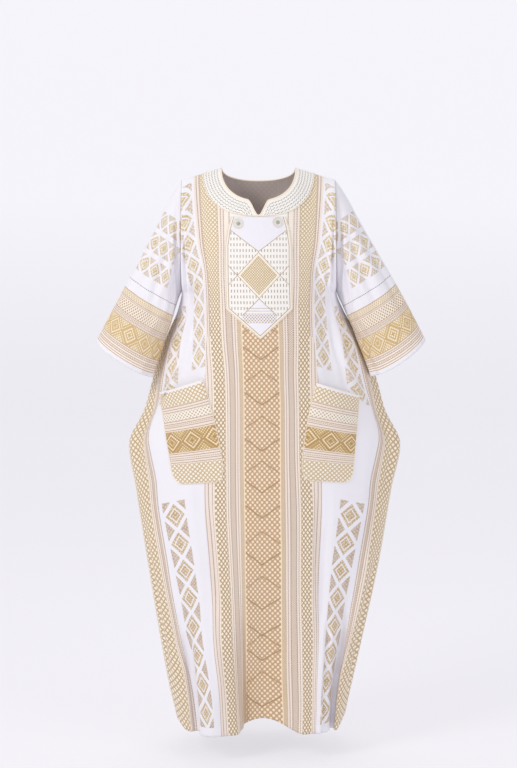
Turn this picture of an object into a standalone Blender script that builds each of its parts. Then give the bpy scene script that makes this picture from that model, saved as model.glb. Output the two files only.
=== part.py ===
"""Grand boubou robe, worn and empty.

One named object for each cut piece.  Units are metres, +Z is up, the front
faces -Y and +X is on the viewer's right.  The origin lies on the shoulder
line at the middle of the neck, where the wearer carries the robe.
Every cloth wall is lofted through sections: a row for each height, and a
column for each line of the woven pattern between centre front and side seam.
"""

import bpy
import bmesh
import numpy as np
from mathutils import Vector
from mathutils.bvhtree import BVHTree

# ---------------------------------------------------------------- sizes
CLOTH = 0.002            # wall of the body and sleeves
LAID_ON = 0.0015         # wall of the pieces that are sewn on a panel
SEAM_GAP = 0.0003        # between pieces that meet at a seam
LIFT = 0.0005            # between a panel and what lies on it

NECK_SIDE = 0.0925       # half width of the neck at the shoulder
NECK_DROP = 0.0825       # round front neck below the shoulder line
NECK_DROP_BACK = 0.030
NECK_ROUND = 2.2         # exponent of the neck's oval
NOTCH_HALF = 0.0275      # half width of the front notch
NOTCH_DROP = 0.036
BAND_REACH = 0.1375      # outer edge of the neck band at the shoulder
BAND_DROP = 0.119        # and below the shoulder line in front
BAND_DROP_BACK = 0.082
BAND_ROUND = 2.5
BAND_STEPS = 24          # points along the band's outer edge
SHOULDER_FALL = 0.028    # from the neck side to the armhole
SHOULDER_END = 0.190
UNDERARM = -0.305
ARMHOLE_BULGE = 0.060    # how far the armhole stands out, front and back
ARMHOLE_ROUND = 0.55     # how full the armhole's curve is
CHEST_START = 2.2        # how soon the panels swell out below the shoulder
CHEST_ROUND = {"front": 0.55, "back": 0.50}       # and how roundly
CHEST_EDGE = 0.5         # how sharp the sides are above the underarm
NECK_LEVEL = -0.05       # height at which the neck's width is read
HEM = -1.390
HEM_TAPER_FROM = -1.0    # rows below this follow the hem's own line
HEM_RISE = 0.030         # the front hem lifts at the middle
HEM_RISE_HALF = 0.110
HEM_SIDE_RISE = {"left": 0.013, "right": 0.024}   # and at the side seams
HEM_SIDE_HALF = 0.080
LEAN = 0.0085            # the skirt hangs this far to +X of the neck
LEAN_FROM = -0.20
LEAN_TO = -0.60

# Lines of the woven pattern, as cloth distance from the centre line.
LINES = {"centre": 0.0, "column": 0.044, "lattice": 0.108, "block": 0.2075,
         "band": 0.305, "seam": 0.370}
NECK_LINE = 0.085        # the pattern line that ends at the neck side
SEAM = LINES["seam"]

# Where those lines hang, as distance from the centre line at each height.
SECTION_COLUMNS = ("z", "column", "lattice", "block", "band", "seam")
SECTIONS = {
    "left": (
        (0.000, 0.046, 0.1200, 0.166, 0.185, 0.190),
        (-0.305, 0.046, 0.1100, 0.162, 0.185, 0.193),
        (-0.350, 0.045, 0.1110, 0.163, 0.192, 0.204),
        (-0.420, 0.045, 0.1100, 0.167, 0.213, 0.237),
        (-0.515, 0.044, 0.1040, 0.177, 0.235, 0.271),
        (-0.600, 0.044, 0.1020, 0.184, 0.257, 0.295),
        (-0.690, 0.044, 0.1000, 0.189, 0.281, 0.334),
        (-0.800, 0.043, 0.0970, 0.194, 0.281, 0.318),
        (-0.980, 0.041, 0.0880, 0.176, 0.256, 0.290),
        (-1.180, 0.038, 0.0770, 0.151, 0.217, 0.257),
        (-1.295, 0.038, 0.0680, 0.134, 0.197, 0.236),
        (-1.390, 0.036, 0.0620, 0.128, 0.185, 0.212)),
    "right": (
        (0.000, 0.046, 0.1200, 0.166, 0.185, 0.190),
        (-0.305, 0.046, 0.1110, 0.162, 0.185, 0.193),
        (-0.350, 0.045, 0.1090, 0.163, 0.196, 0.209),
        (-0.420, 0.045, 0.1080, 0.168, 0.219, 0.248),
        (-0.515, 0.044, 0.1040, 0.178, 0.243, 0.287),
        (-0.600, 0.045, 0.1040, 0.185, 0.266, 0.309),
        (-0.690, 0.045, 0.1040, 0.193, 0.290, 0.348),
        (-0.800, 0.046, 0.1050, 0.197, 0.289, 0.327),
        (-0.980, 0.048, 0.1055, 0.181, 0.263, 0.297),
        (-1.180, 0.048, 0.1070, 0.163, 0.221, 0.254),
        (-1.295, 0.049, 0.1070, 0.153, 0.198, 0.228),
        (-1.390, 0.050, 0.1040, 0.150, 0.187, 0.206))}

# Depth of the hollow: the middle of each panel, how sharp the sides are, and
# where the side seams hang; behind the sleeves they hang further back.
DEPTH_COLUMNS = ("z", "front", "back", "edge", "side_y")
DEPTHS = (
    (-0.305, 0.135, 0.115, 0.50, 0.000),
    (-0.350, 0.138, 0.116, 0.60, 0.018),
    (-0.420, 0.141, 0.117, 0.70, 0.034),
    (-0.500, 0.145, 0.119, 0.72, 0.034),
    (-0.600, 0.150, 0.122, 0.76, 0.010),
    (-0.690, 0.152, 0.124, 0.80, 0.000),
    (-0.800, 0.155, 0.126, 0.68, 0.000),
    (-0.980, 0.160, 0.130, 0.55, 0.000),
    (-1.180, 0.166, 0.136, 0.46, 0.000),
    (-1.390, 0.172, 0.142, 0.36, 0.000))

# Folds: a soft trough (or a ridge, where depth is below zero) that runs from
# one pattern line at z_top to another at z_low.  It grows over the height
# "fade" and stays open where it reaches the hem.
FOLD_COLUMNS = ("side", "line_top", "z_top", "line_low", "z_low", "half",
                "depth", "fade")
FRONT_FOLDS = (
    ("left", 0.000, -0.90, 0.000, -1.40, 0.140, 0.058, 0.46),
    ("left", 0.060, -1.06, 0.064, -1.40, 0.046, 0.018, 0.30),
    ("right", 0.000, -0.90, 0.000, -1.40, 0.115, 0.060, 0.46),
    ("left", 0.190, -1.00, 0.214, -1.40, 0.090, -0.034, 0.36),
    ("right", 0.180, -1.00, 0.205, -1.40, 0.065, -0.014, 0.36),
    ("left", 0.262, -1.04, 0.258, -1.40, 0.027, 0.015, 0.28),
    ("right", 0.248, -0.98, 0.250, -1.40, 0.029, 0.026, 0.28),
    ("left", 0.160, -0.62, 0.150, -1.10, 0.034, 0.011, 0.22),
    ("right", 0.155, -0.72, 0.165, -1.15, 0.032, 0.011, 0.22),
    ("left", 0.312, -0.80, 0.312, -1.40, 0.050, -0.018, 0.35),
    ("right", 0.305, -0.80, 0.308, -1.40, 0.048, -0.018, 0.35),
    ("left", 0.150, -0.18, 0.205, -0.50, 0.038, 0.011, 0.16),
    ("right", 0.150, -0.18, 0.200, -0.48, 0.038, 0.012, 0.16),
    ("left", 0.330, -0.58, 0.285, -0.90, 0.036, 0.012, 0.14),
    ("right", 0.330, -0.58, 0.280, -0.92, 0.036, 0.012, 0.14))
BACK_FOLDS = (
    ("both", 0.000, -0.26, 0.000, -1.40, 0.060, 0.026, 0.40),
    ("left", 0.130, -0.42, 0.140, -1.40, 0.045, 0.036, 0.50),
    ("right", 0.140, -0.48, 0.125, -1.40, 0.045, 0.040, 0.50),
    ("left", 0.235, -0.66, 0.240, -1.40, 0.040, 0.042, 0.50),
    ("right", 0.240, -0.70, 0.235, -1.40, 0.040, 0.040, 0.50),
    ("left", 0.312, -0.80, 0.312, -1.40, 0.050, -0.016, 0.35),
    ("right", 0.308, -0.80, 0.308, -1.40, 0.050, -0.016, 0.35))

# Sleeves: upper and lower edge at stations from the armhole to the cuff.
SLEEVE_COLUMNS = ("along", "top_x", "top_z", "low_x", "low_z", "half", "mid_y",
                  "front_drop")
SLEEVES = {
    "left": (
        (0.00, 0.190, -0.028, 0.193, -0.305, 0.060, 0.000, 0.000),
        (0.12, 0.214, -0.062, 0.202, -0.330, 0.067, -0.001, 0.000),
        (0.32, 0.253, -0.139, 0.216, -0.376, 0.069, -0.004, 0.000),
        (0.55, 0.304, -0.237, 0.233, -0.424, 0.064, -0.008, 0.003),
        (0.80, 0.360, -0.344, 0.251, -0.480, 0.058, -0.012, 0.006),
        (1.00, 0.405, -0.428, 0.262, -0.518, 0.053, -0.015, 0.010)),
    "right": (
        (0.00, 0.190, -0.028, 0.193, -0.305, 0.060, 0.000, 0.000),
        (0.12, 0.214, -0.062, 0.204, -0.328, 0.067, -0.001, 0.000),
        (0.32, 0.254, -0.134, 0.222, -0.368, 0.069, -0.004, 0.000),
        (0.55, 0.311, -0.232, 0.243, -0.416, 0.064, -0.008, 0.004),
        (0.80, 0.369, -0.334, 0.264, -0.470, 0.058, -0.012, 0.008),
        (1.00, 0.415, -0.422, 0.279, -0.514, 0.053, -0.015, 0.014))}
SLEEVE_RINGS = (0.0, 0.06, 0.14, 0.24, 0.36, 0.48, 0.61, 0.74, 0.87, 1.0)

# Bib: half width at each height; it ends in a point.
BIB_OUTLINE = ((0.066, -0.1215), (0.0745, -0.152), (0.080, -0.192),
               (0.080, -0.345), (0.001, -0.4165))

# Pockets: corners in the plane of the front, and the open mouth.
POCKET_CORNERS = {
    "left": {"top_out": (-0.246, -0.557), "top_in": (-0.136, -0.518),
             "low_in": (-0.082, -0.764), "low_out": (-0.207, -0.777)},
    "right": {"top_out": (0.249, -0.5615), "top_in": (0.141, -0.526),
              "low_in": (0.104, -0.760), "low_out": (0.230, -0.773)}}
POCKET_BOW = 0.008       # the inner side bows out by this
POCKET_ROUND = 0.16      # share of the height taken by the round corners
POCKET_MOUTH = 0.021     # how far the mouth stands open
POCKET_CLOSING = 1.3     # how soon it closes down the pocket
POCKET_LIPS = 0.7        # and towards the mouth's corners
POCKET_CROWD = 0.9       # the rows stand a little closer near the mouth
POCKET_LIFT = 0.0006
POCKET_BRIDGE = 0.005    # the pocket spans dents narrower than this
POCKET_COLUMNS = 10
POCKET_ROWS = 11

# Rows and columns of the body's grid.
TOP_ROWS = (0.0, 0.045, 0.12, 0.23, 0.36, 0.50, 0.65, 0.79, 0.91, 1.0)
LOW_ROWS = (-0.345, -0.39, -0.44, -0.49, -0.54, -0.59, -0.64, -0.69, -0.74,
            -0.80, -0.86, -0.93, -1.00, -1.07, -1.14, -1.21, -1.275, -1.335,
            -1.39)
CLOTH_COLUMNS = (0.0, 0.0125, 0.026, 0.044, 0.060, 0.072, 0.080, 0.085, 0.108,
                 0.135, 0.165, 0.195, 0.220, 0.240, 0.255, 0.270, 0.288, 0.310,
                 0.332, 0.351, 0.363, 0.370)

# Strips of the body's grid that the neck band and the bib are cut from.
BAND_LINE = 0.165
BAND_ROWS = (0, 5)
BIB_LINE = 0.108
BIB_ROWS = (0, len(TOP_ROWS) + 3)
CUT_ABOVE = 0.05         # the cutters reach this far over the shoulder line
CUT_DEEP = 0.30          # and this far forward and back
SHARP_ANGLE = np.radians(50)

COLOURS = {"cloth": (0.87, 0.82, 0.76), "gold": (0.72, 0.55, 0.33),
           "white": (0.90, 0.89, 0.91)}


# ---------------------------------------------------------------- curves
def column_of(table, names, name):
    """One named column of a table, as an array."""
    return np.array([row[names.index(name)] for row in table])


def smooth_through(knots, values, at):
    """A smooth curve through the knots that never overshoots them."""
    order = np.argsort(knots)
    knots = np.asarray(knots, float)[order]
    values = np.asarray(values, float)[order]
    step = np.diff(knots)
    slope = np.diff(values) / step
    tangent = np.empty(len(knots))
    tangent[0] = slope[0]
    tangent[-1] = slope[-1]
    product = slope[:-1] * slope[1:]
    total = slope[:-1] + slope[1:]
    safe = np.where(product > 0, total, 1.0)
    tangent[1:-1] = np.where(product > 0, 2 * product / safe, 0.0)
    at = np.clip(np.asarray(at, float), knots[0], knots[-1])
    cell = np.clip(np.searchsorted(knots, at) - 1, 0, len(step) - 1)
    t = (at - knots[cell]) / step[cell]
    rise = step[cell]
    return ((1 + 2 * t) * (1 - t) ** 2 * values[cell]
            + t * (1 - t) ** 2 * rise * tangent[cell]
            + t * t * (3 - 2 * t) * values[cell + 1]
            + t * t * (t - 1) * rise * tangent[cell + 1])


def ease(value):
    """Smooth step from 0 to 1."""
    value = np.clip(value, 0.0, 1.0)
    return value * value * (3 - 2 * value)


def swell(away):
    """1 in the middle of a fold and 0 at its edges, where away is 1."""
    return 0.5 * (1 + np.cos(np.pi * min(1.0, away)))


def centre_line(z):
    return LEAN * ease((LEAN_FROM - z) / (LEAN_FROM - LEAN_TO))


def reach(side, line, z):
    """Distance of a pattern line from the centre line at a height."""
    table = SECTIONS[side]
    heights = column_of(table, SECTION_COLUMNS, "z")
    places = [0.0]
    for name in SECTION_COLUMNS[1:]:
        places.append(float(smooth_through(
            heights, column_of(table, SECTION_COLUMNS, name), z)))
    return float(smooth_through(list(LINES.values()), places, line))


def depth_value(name, z):
    heights = column_of(DEPTHS, DEPTH_COLUMNS, "z")
    return float(smooth_through(
        heights, column_of(DEPTHS, DEPTH_COLUMNS, name), z))


def fold_depth(folds, side, line, z):
    """How far the folds push a point of the cloth inwards."""
    total = 0.0
    for row in folds:
        fold = dict(zip(FOLD_COLUMNS, row))
        if fold["side"] not in (side, "both"):
            continue
        along = (fold["z_top"] - z) / (fold["z_top"] - fold["z_low"])
        if along <= 0.0:
            continue
        sweep = fold["line_low"] - fold["line_top"]
        centre = fold["line_top"] + sweep * min(along, 1.0)
        away = abs(line - centre) / fold["half"]
        if away >= 1.0:
            continue
        grown = ease((fold["z_top"] - z) / fold["fade"])
        past = 1.0
        if fold["z_low"] > HEM:
            past = ease((z - fold["z_low"]) / fold["fade"] + 0.5)
        total += fold["depth"] * grown * past * swell(away)
    return total


# ---------------------------------------------------------------- edges
def neck_height(x, face):
    """Height of the neck's cut edge at a distance from the centre line."""
    drop = NECK_DROP if face == "front" else NECK_DROP_BACK
    round_part = max(0.0, 1 - (x / NECK_SIDE) ** NECK_ROUND) ** (1 / NECK_ROUND)
    height = -drop * round_part
    if face == "front":
        height -= NOTCH_DROP * swell(x / NOTCH_HALF)
    return height


def shoulder_height(x):
    return -SHOULDER_FALL * (x - NECK_SIDE) / (SHOULDER_END - NECK_SIDE)


def hem_height(face, side, line):
    height = HEM + HEM_SIDE_RISE[side] * swell((SEAM - line) / HEM_SIDE_HALF)
    if face == "front":
        height += HEM_RISE * swell(line / HEM_RISE_HALF)
    return height


def armhole_bulge(share):
    """Half depth of an armhole or sleeve ring, as a share of its largest."""
    return max(0.0, 4 * share * (1 - share)) ** ARMHOLE_ROUND


def body_point(face, side, line, row):
    """A point of the outer face; row counts TOP_ROWS, then LOW_ROWS."""
    sign = -1 if side == "left" else 1
    outward = -1 if face == "front" else 1
    if row < len(TOP_ROWS):
        share = TOP_ROWS[row]
        if line < NECK_LINE:
            edge = neck_height(reach(side, line, NECK_LEVEL), face)
            ridge = 0.0
        else:
            edge = shoulder_height(reach(side, line, 0.0))
            ridge = edge
        z = edge + share * (UNDERARM - edge)
    else:
        z = LOW_ROWS[row - len(TOP_ROWS)]
        fall = HEM_TAPER_FROM - hem_height(face, side, line)
        taper = fall / (HEM_TAPER_FROM - HEM)
        if z < HEM_TAPER_FROM:
            z = HEM_TAPER_FROM - (HEM_TAPER_FROM - z) * taper
    x = reach(side, line, z)
    across = min(1.0, x / reach(side, SEAM, z))
    if row < len(TOP_ROWS):
        fallen = min(1.0, max(0.0, (ridge - z) / (ridge - UNDERARM)))
        full = depth_value(face, UNDERARM)
        rise = (1 - (1 - fallen) ** CHEST_START) ** CHEST_ROUND[face]
        depth = full * (1 - across ** 2) ** CHEST_EDGE * rise
        beside = ease((line - LINES["lattice"]) / (SEAM - LINES["lattice"]))
        depth += beside * ARMHOLE_BULGE * armhole_bulge(fallen)
    else:
        back_by = depth_value("side_y", z)
        full = depth_value(face, z) - outward * back_by
        depth = full * (1 - across ** 2) ** depth_value("edge", z) + outward * back_by
    folds = FRONT_FOLDS if face == "front" else BACK_FOLDS
    depth -= fold_depth(folds, side, line, z)
    return (centre_line(z) + sign * x, outward * depth, z)


def body_grid(face):
    """All points of one panel's outer face, as rows from shoulder to hem."""
    left = [("left", line) for line in reversed(CLOTH_COLUMNS[1:])]
    right = [("right", line) for line in CLOTH_COLUMNS]
    rows = len(TOP_ROWS) + len(LOW_ROWS)
    return np.array([[body_point(face, side, line, row)
                      for side, line in left + right] for row in range(rows)])


# ---------------------------------------------------------------- normals
def unit(vectors):
    return vectors / np.maximum(np.linalg.norm(vectors, axis=-1, keepdims=True), 1e-9)


def body_normals(grid, other, outward):
    """Outward normals of a panel; across a seam they use the other panel."""
    down = np.empty_like(grid)
    down[1:-1] = grid[2:] - grid[:-2]
    down[-1] = grid[-1] - grid[-2]
    down[0] = grid[1] - grid[0]
    columns = np.array([-line for line in reversed(CLOTH_COLUMNS[1:])]
                       + list(CLOTH_COLUMNS))
    shoulder = np.abs(columns) >= NECK_LINE
    down[0, shoulder] = grid[1, shoulder] - other[1, shoulder]
    across = np.empty_like(grid)
    across[:, 1:-1] = grid[:, 2:] - grid[:, :-2]
    across[:, 0] = grid[:, 1] - grid[:, 0]
    across[:, -1] = grid[:, -1] - grid[:, -2]
    under = len(TOP_ROWS) - 1
    across[under:, 0] = grid[under:, 1] - other[under:, 1]
    across[under:, -1] = other[under:, -2] - grid[under:, -2]
    normal = unit(np.cross(across, down) * outward)
    normal[0, shoulder, 1] = 0.0
    normal[under:, 0, 1] = 0.0
    normal[under:, -1, 1] = 0.0
    normal[:under + 1, 0, 0] = np.minimum(normal[:under + 1, 0, 0], 0.0)
    normal[:under + 1, -1, 0] = np.maximum(normal[:under + 1, -1, 0], 0.0)
    return unit(normal), shoulder, under


def part_at_seams(grid, shoulder, under, outward):
    """Draw a panel back from its seams by half the gap."""
    grid = grid.copy()
    shift = outward * SEAM_GAP / 2
    grid[0, shoulder, 1] += shift
    grid[under:, 0, 1] += shift
    grid[under:, -1, 1] += shift
    return grid


# ---------------------------------------------------------------- meshes
def finish(name, material, verts, faces):
    mesh = bpy.data.meshes.new(name)
    mesh.from_pydata([tuple(v) for v in verts], [], faces)
    bm = bmesh.new()
    bm.from_mesh(mesh)
    bmesh.ops.recalc_face_normals(bm, faces=bm.faces)
    bm.to_mesh(mesh)
    bm.free()
    mesh.shade_smooth()
    mesh.set_sharp_from_angle(angle=SHARP_ANGLE)
    mesh.materials.append(material)
    obj = bpy.data.objects.new(name, mesh)
    ROBE.objects.link(obj)
    return obj


def grid_faces(rows, columns, start, closed, flip):
    """Two triangles for each cell, with the same diagonal on both faces."""
    faces = []
    wide = columns if closed else columns - 1
    for r in range(rows - 1):
        for c in range(wide):
            a = start + r * columns + c
            b = start + r * columns + (c + 1) % columns
            d = a + columns
            e = b + columns
            lean = c >= wide // 2
            pair = [(a, b, e), (a, e, d)] if lean else [(a, b, d), (b, e, d)]
            faces += [tuple(reversed(f)) for f in pair] if flip else pair
    return faces


def cloth_wall(name, material, outer, inner, closed=False):
    """A closed wall between two grids of points, with its cut edges."""
    rows, columns = outer.shape[:2]
    count = rows * columns
    verts = np.concatenate([outer.reshape(-1, 3), inner.reshape(-1, 3)])
    faces = grid_faces(rows, columns, 0, closed, False)
    faces += grid_faces(rows, columns, count, closed, True)
    wide = columns if closed else columns - 1
    edges = [(c, (c + 1) % columns) for c in range(wide)]
    last = (rows - 1) * columns
    edges += [(last + (c + 1) % columns, last + c) for c in range(wide)]
    if not closed:
        edges += [((r + 1) * columns, r * columns) for r in range(rows - 1)]
        edges += [(r * columns + columns - 1, (r + 1) * columns + columns - 1)
                  for r in range(rows - 1)]
    for a, b in edges:
        faces += [(b, a, a + count), (b, a + count, b + count)]
    return finish(name, material, verts, faces)


def paint(name, colour, roughness):
    material = bpy.data.materials.new(name)
    material.use_nodes = True
    shader = material.node_tree.nodes["Principled BSDF"]
    shader.inputs["Base Color"].default_value = (*colour, 1.0)
    shader.inputs["Roughness"].default_value = roughness
    return material


def prism(name, outline):
    """A cutter: an outline in the XZ plane, extruded along Y."""
    count = len(outline)
    verts = [(x, -CUT_DEEP, z) for x, z in outline]
    verts += [(x, CUT_DEEP, z) for x, z in outline]
    faces = [tuple(range(count)), tuple(range(2 * count - 1, count - 1, -1))]
    faces += [(i, i + count, (i + 1) % count + count, (i + 1) % count)
              for i in range(count)]
    mesh = bpy.data.meshes.new(name)
    mesh.from_pydata(verts, [], faces)
    bm = bmesh.new()
    bm.from_mesh(mesh)
    bmesh.ops.recalc_face_normals(bm, faces=bm.faces)
    bm.to_mesh(mesh)
    bm.free()
    cutter = bpy.data.objects.new(name, mesh)
    cutter.hide_render = True
    cutter.display_type = "WIRE"
    CUTTERS.objects.link(cutter)
    return cutter


def laid_on(name, material, grid, normal, outline):
    """A flat piece sewn on a panel: the panel's points moved out, cut to shape."""
    piece = cloth_wall(name, material, grid + normal * (LIFT + LAID_ON),
                       grid + normal * LIFT)
    cut = piece.modifiers.new("outline", "BOOLEAN")
    cut.operation = "INTERSECT"
    cut.solver = "EXACT"
    cut.object = prism(name + "_outline", outline)
    return piece


# ---------------------------------------------------------------- pieces
def band_outline(drop):
    """Outer edge of the neck band, closed far above the shoulder."""
    points = []
    for i in range(BAND_STEPS + 1):
        angle = np.pi * i / BAND_STEPS
        x = BAND_REACH * np.sign(np.cos(angle)) * abs(np.cos(angle)) ** (2 / BAND_ROUND)
        z = -drop * np.sin(angle) ** (2 / BAND_ROUND)
        points.append((x, z))
    points[0] = (BAND_REACH, 0.0)
    points[-1] = (-BAND_REACH, 0.0)
    return points + [(-BAND_REACH, CUT_ABOVE), (BAND_REACH, CUT_ABOVE)]


def bib_outline():
    right = list(BIB_OUTLINE)
    return right + [(-x, z) for x, z in reversed(right)]


def part_of_grid(grid, rows, line):
    """The rows from the neck down, between a pattern line and its mirror."""
    half = len(CLOTH_COLUMNS) - 1
    columns = CLOTH_COLUMNS.index(line)
    return grid[rows[0]:rows[1] + 1, half - columns:half + columns + 1]


def sleeve_grid(side, front, back):
    """Rings from the armhole to the cuff; the first lies on the body's edge."""
    sign = -1 if side == "left" else 1
    column = 0 if side == "left" else -1
    under = len(TOP_ROWS) - 1
    table = SLEEVES[side]
    along = column_of(table, SLEEVE_COLUMNS, "along")
    loop = [(share, -1) for share in TOP_ROWS]
    loop += [(share, 1) for share in reversed(TOP_ROWS[1:-1])]
    rings = []
    for station in SLEEVE_RINGS:
        size = {name: float(smooth_through(
            along, column_of(table, SLEEVE_COLUMNS, name), station))
            for name in SLEEVE_COLUMNS[1:]}
        ring = []
        across = np.array([size["low_x"] - size["top_x"],
                           size["low_z"] - size["top_z"]])
        outward = np.array([-across[1], across[0]]) / np.hypot(*across)
        for share, face in loop:
            bulge = armhole_bulge(share)
            x, z = np.array([size["top_x"], size["top_z"]]) + share * across
            if face < 0:
                x += outward[0] * size["front_drop"] * bulge
                z += outward[1] * size["front_drop"] * bulge
            ring.append((sign * x, size["mid_y"] + face * size["half"] * bulge, z))
        rings.append(ring)
    grid = np.array(rings)
    armhole = np.concatenate([front[:under + 1, column],
                              back[under - 1:0:-1, column]])
    grid[0] = armhole
    grid[0, :, 0] += sign * SEAM_GAP
    grid[0, 0, 1] = 0.0
    grid[0, under, 1] = 0.0
    return grid


def sleeve(side, front, back, material):
    sign = -1 if side == "left" else 1
    grid = sleeve_grid(side, front, back)
    down = np.empty_like(grid)
    down[1:-1] = grid[2:] - grid[:-2]
    down[0] = grid[1] - grid[0]
    down[-1] = grid[-1] - grid[-2]
    around = np.roll(grid, -1, axis=1) - np.roll(grid, 1, axis=1)
    normal = unit(np.cross(down, around) * sign)
    outward = grid - grid.mean(axis=1, keepdims=True)
    if np.sum(normal * outward) < 0:
        normal = -normal
    normal[0, :, 0] = sign * np.minimum(sign * normal[0, :, 0], 0.0)
    normal = unit(normal)
    return cloth_wall("sleeve_" + side, material, grid, grid - normal * CLOTH,
                      closed=True)


def foremost(surface, x, z):
    """The panel's point at x and z, as far forward as its nearest neighbours."""
    ahead = []
    facing = None
    for dx, dz in ((0, 0), (-POCKET_BRIDGE, 0), (POCKET_BRIDGE, 0),
                   (0, -POCKET_BRIDGE), (0, POCKET_BRIDGE)):
        spot, normal, _, _ = surface.ray_cast(Vector((x + dx, -1.0, z + dz)),
                                              Vector((0, 1, 0)))
        facing = facing or (normal if normal.y < 0 else -normal)
        ahead.append(spot.y + (dx * facing.x + dz * facing.z) / facing.y)
    return Vector((x, min(ahead), z)), facing


def pocket(side, front_grid, material):
    """A patch pocket on the front: sewn on three sides, open at the mouth."""
    rows, columns = front_grid.shape[:2]
    surface = BVHTree.FromPolygons(
        [Vector(v) for v in front_grid.reshape(-1, 3)],
        grid_faces(rows, columns, 0, False, False))
    corner = {name: np.array(place)
              for name, place in POCKET_CORNERS[side].items()}
    outer = []
    inner = []
    for r in range(POCKET_ROWS + 1):
        down = (r / POCKET_ROWS) ** (1 / POCKET_CROWD)
        rounding = max(0.0, down - (1 - POCKET_ROUND)) / POCKET_ROUND
        inset = POCKET_ROUND * (1 - np.sqrt(max(0.0, 1 - rounding ** 2)))
        row_outer = []
        row_inner = []
        for c in range(POCKET_COLUMNS + 1):
            even = c / POCKET_COLUMNS
            across = inset + even * (1 - 2 * inset)
            top = corner["top_out"] + across * (corner["top_in"] - corner["top_out"])
            low = corner["low_out"] + across * (corner["low_in"] - corner["low_out"])
            x, z = top + down * (low - top)
            x -= np.sign(x) * POCKET_BOW * across * 4 * down * (1 - down)
            spot, facing = foremost(surface, x, z)
            lips = (4 * even * (1 - even)) ** POCKET_LIPS
            open_by = POCKET_MOUTH * (1 - down) ** POCKET_CLOSING * lips
            inside = spot + facing * POCKET_LIFT + Vector((0, -open_by, 0))
            row_inner.append(inside)
            row_outer.append(inside + facing * LAID_ON)
        outer.append(row_outer)
        inner.append(row_inner)
    return cloth_wall("pocket_" + side, material, np.array(outer), np.array(inner))


def collection(name):
    group = bpy.data.collections.new(name)
    bpy.context.scene.collection.children.link(group)
    return group


for old in list(bpy.data.objects):
    bpy.data.objects.remove(old)
ROBE = collection("grand_boubou_robe")
CUTTERS = collection("cutters")


def main():
    cloth = paint("woven_cloth", COLOURS["cloth"], 0.75)
    gold = paint("gold_woven_cloth", COLOURS["gold"], 0.7)
    white = paint("white_embroidered_cloth", COLOURS["white"], 0.75)
    front = body_grid("front")
    back = body_grid("back")
    walls = {}
    for name, grid, other, outward in (("front", front, back, -1),
                                       ("back", back, front, 1)):
        normal, shoulder, under = body_normals(grid, other, outward)
        parted = part_at_seams(grid, shoulder, under, outward)
        walls[name] = (parted, normal)
        cloth_wall(name, cloth, parted, parted - normal * CLOTH)
    for face, drop in (("front", BAND_DROP), ("back", BAND_DROP_BACK)):
        parted, normal = walls[face]
        laid_on("neck_band_" + face, white,
                part_of_grid(parted, BAND_ROWS, BAND_LINE),
                part_of_grid(normal, BAND_ROWS, BAND_LINE), band_outline(drop))
    parted, normal = walls["front"]
    laid_on("bib", white, part_of_grid(parted, BIB_ROWS, BIB_LINE),
            part_of_grid(normal, BIB_ROWS, BIB_LINE), bib_outline())
    for side in ("left", "right"):
        sleeve(side, front, back, cloth)
        pocket(side, parted, gold)


main()
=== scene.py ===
"""Looks of the grand boubou robe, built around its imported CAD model.

Every cloth piece is a thin shell on the form of the solid that it replaces.
The woven pattern is drawn by shader nodes from the cloth's own coordinates,
in metres: across from centre front, and down from the shoulder line.
"""

import bpy
import numpy as np
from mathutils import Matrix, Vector
from mathutils.bvhtree import BVHTree


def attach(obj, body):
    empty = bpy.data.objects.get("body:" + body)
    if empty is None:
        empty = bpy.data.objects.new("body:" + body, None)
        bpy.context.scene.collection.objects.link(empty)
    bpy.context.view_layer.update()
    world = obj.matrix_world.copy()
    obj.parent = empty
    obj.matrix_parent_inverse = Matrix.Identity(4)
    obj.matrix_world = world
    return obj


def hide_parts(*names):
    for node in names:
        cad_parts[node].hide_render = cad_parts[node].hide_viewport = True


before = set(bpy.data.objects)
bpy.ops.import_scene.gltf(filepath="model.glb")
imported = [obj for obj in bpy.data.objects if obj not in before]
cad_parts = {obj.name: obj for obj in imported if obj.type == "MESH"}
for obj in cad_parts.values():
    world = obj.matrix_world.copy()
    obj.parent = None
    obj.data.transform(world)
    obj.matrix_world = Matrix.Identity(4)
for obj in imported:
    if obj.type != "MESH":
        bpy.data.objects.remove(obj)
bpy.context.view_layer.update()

# ---------------------------------------------------------------- sizes
NECK_SIDE = 0.0925       # half width of the neck at the shoulder
NECK_DROP = 0.0825       # round front neck below the shoulder line
NECK_DROP_BACK = 0.030
NECK_ROUND = 2.2         # exponent of the neck's oval
NOTCH_HALF = 0.0275      # half width of the front notch
NOTCH_DROP = 0.036
BAND_REACH = 0.1375      # outer edge of the neck band at the shoulder
BAND_DROP = 0.119        # and below the shoulder line in front
BAND_DROP_BACK = 0.082
BAND_ROUND = 2.5
SHOULDER_FALL = 0.028    # from the neck side to the armhole
SHOULDER_END = 0.190
UNDERARM = -0.305
ARMHOLE_BULGE = 0.060    # how far the armhole stands out, front and back
ARMHOLE_ROUND = 0.55     # how full the armhole's curve is
CHEST_START = 2.2        # how soon the panels swell out below the shoulder
CHEST_ROUND = {"front": 0.55, "back": 0.50}       # and how roundly
CHEST_EDGE = 0.5         # how sharp the sides are above the underarm
NECK_LEVEL = -0.05       # height at which the neck's width is read
HEM = -1.390
HEM_TAPER_FROM = -1.0    # rows below this follow the hem's own line
HEM_RISE = 0.030         # the front hem lifts at the middle
HEM_RISE_HALF = 0.110
HEM_SIDE_RISE = {"left": 0.013, "right": 0.024}   # and at the side seams
HEM_SIDE_HALF = 0.080
LEAN = 0.0085            # the skirt hangs this far to +X of the neck
LEAN_FROM = -0.20
LEAN_TO = -0.60

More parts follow.
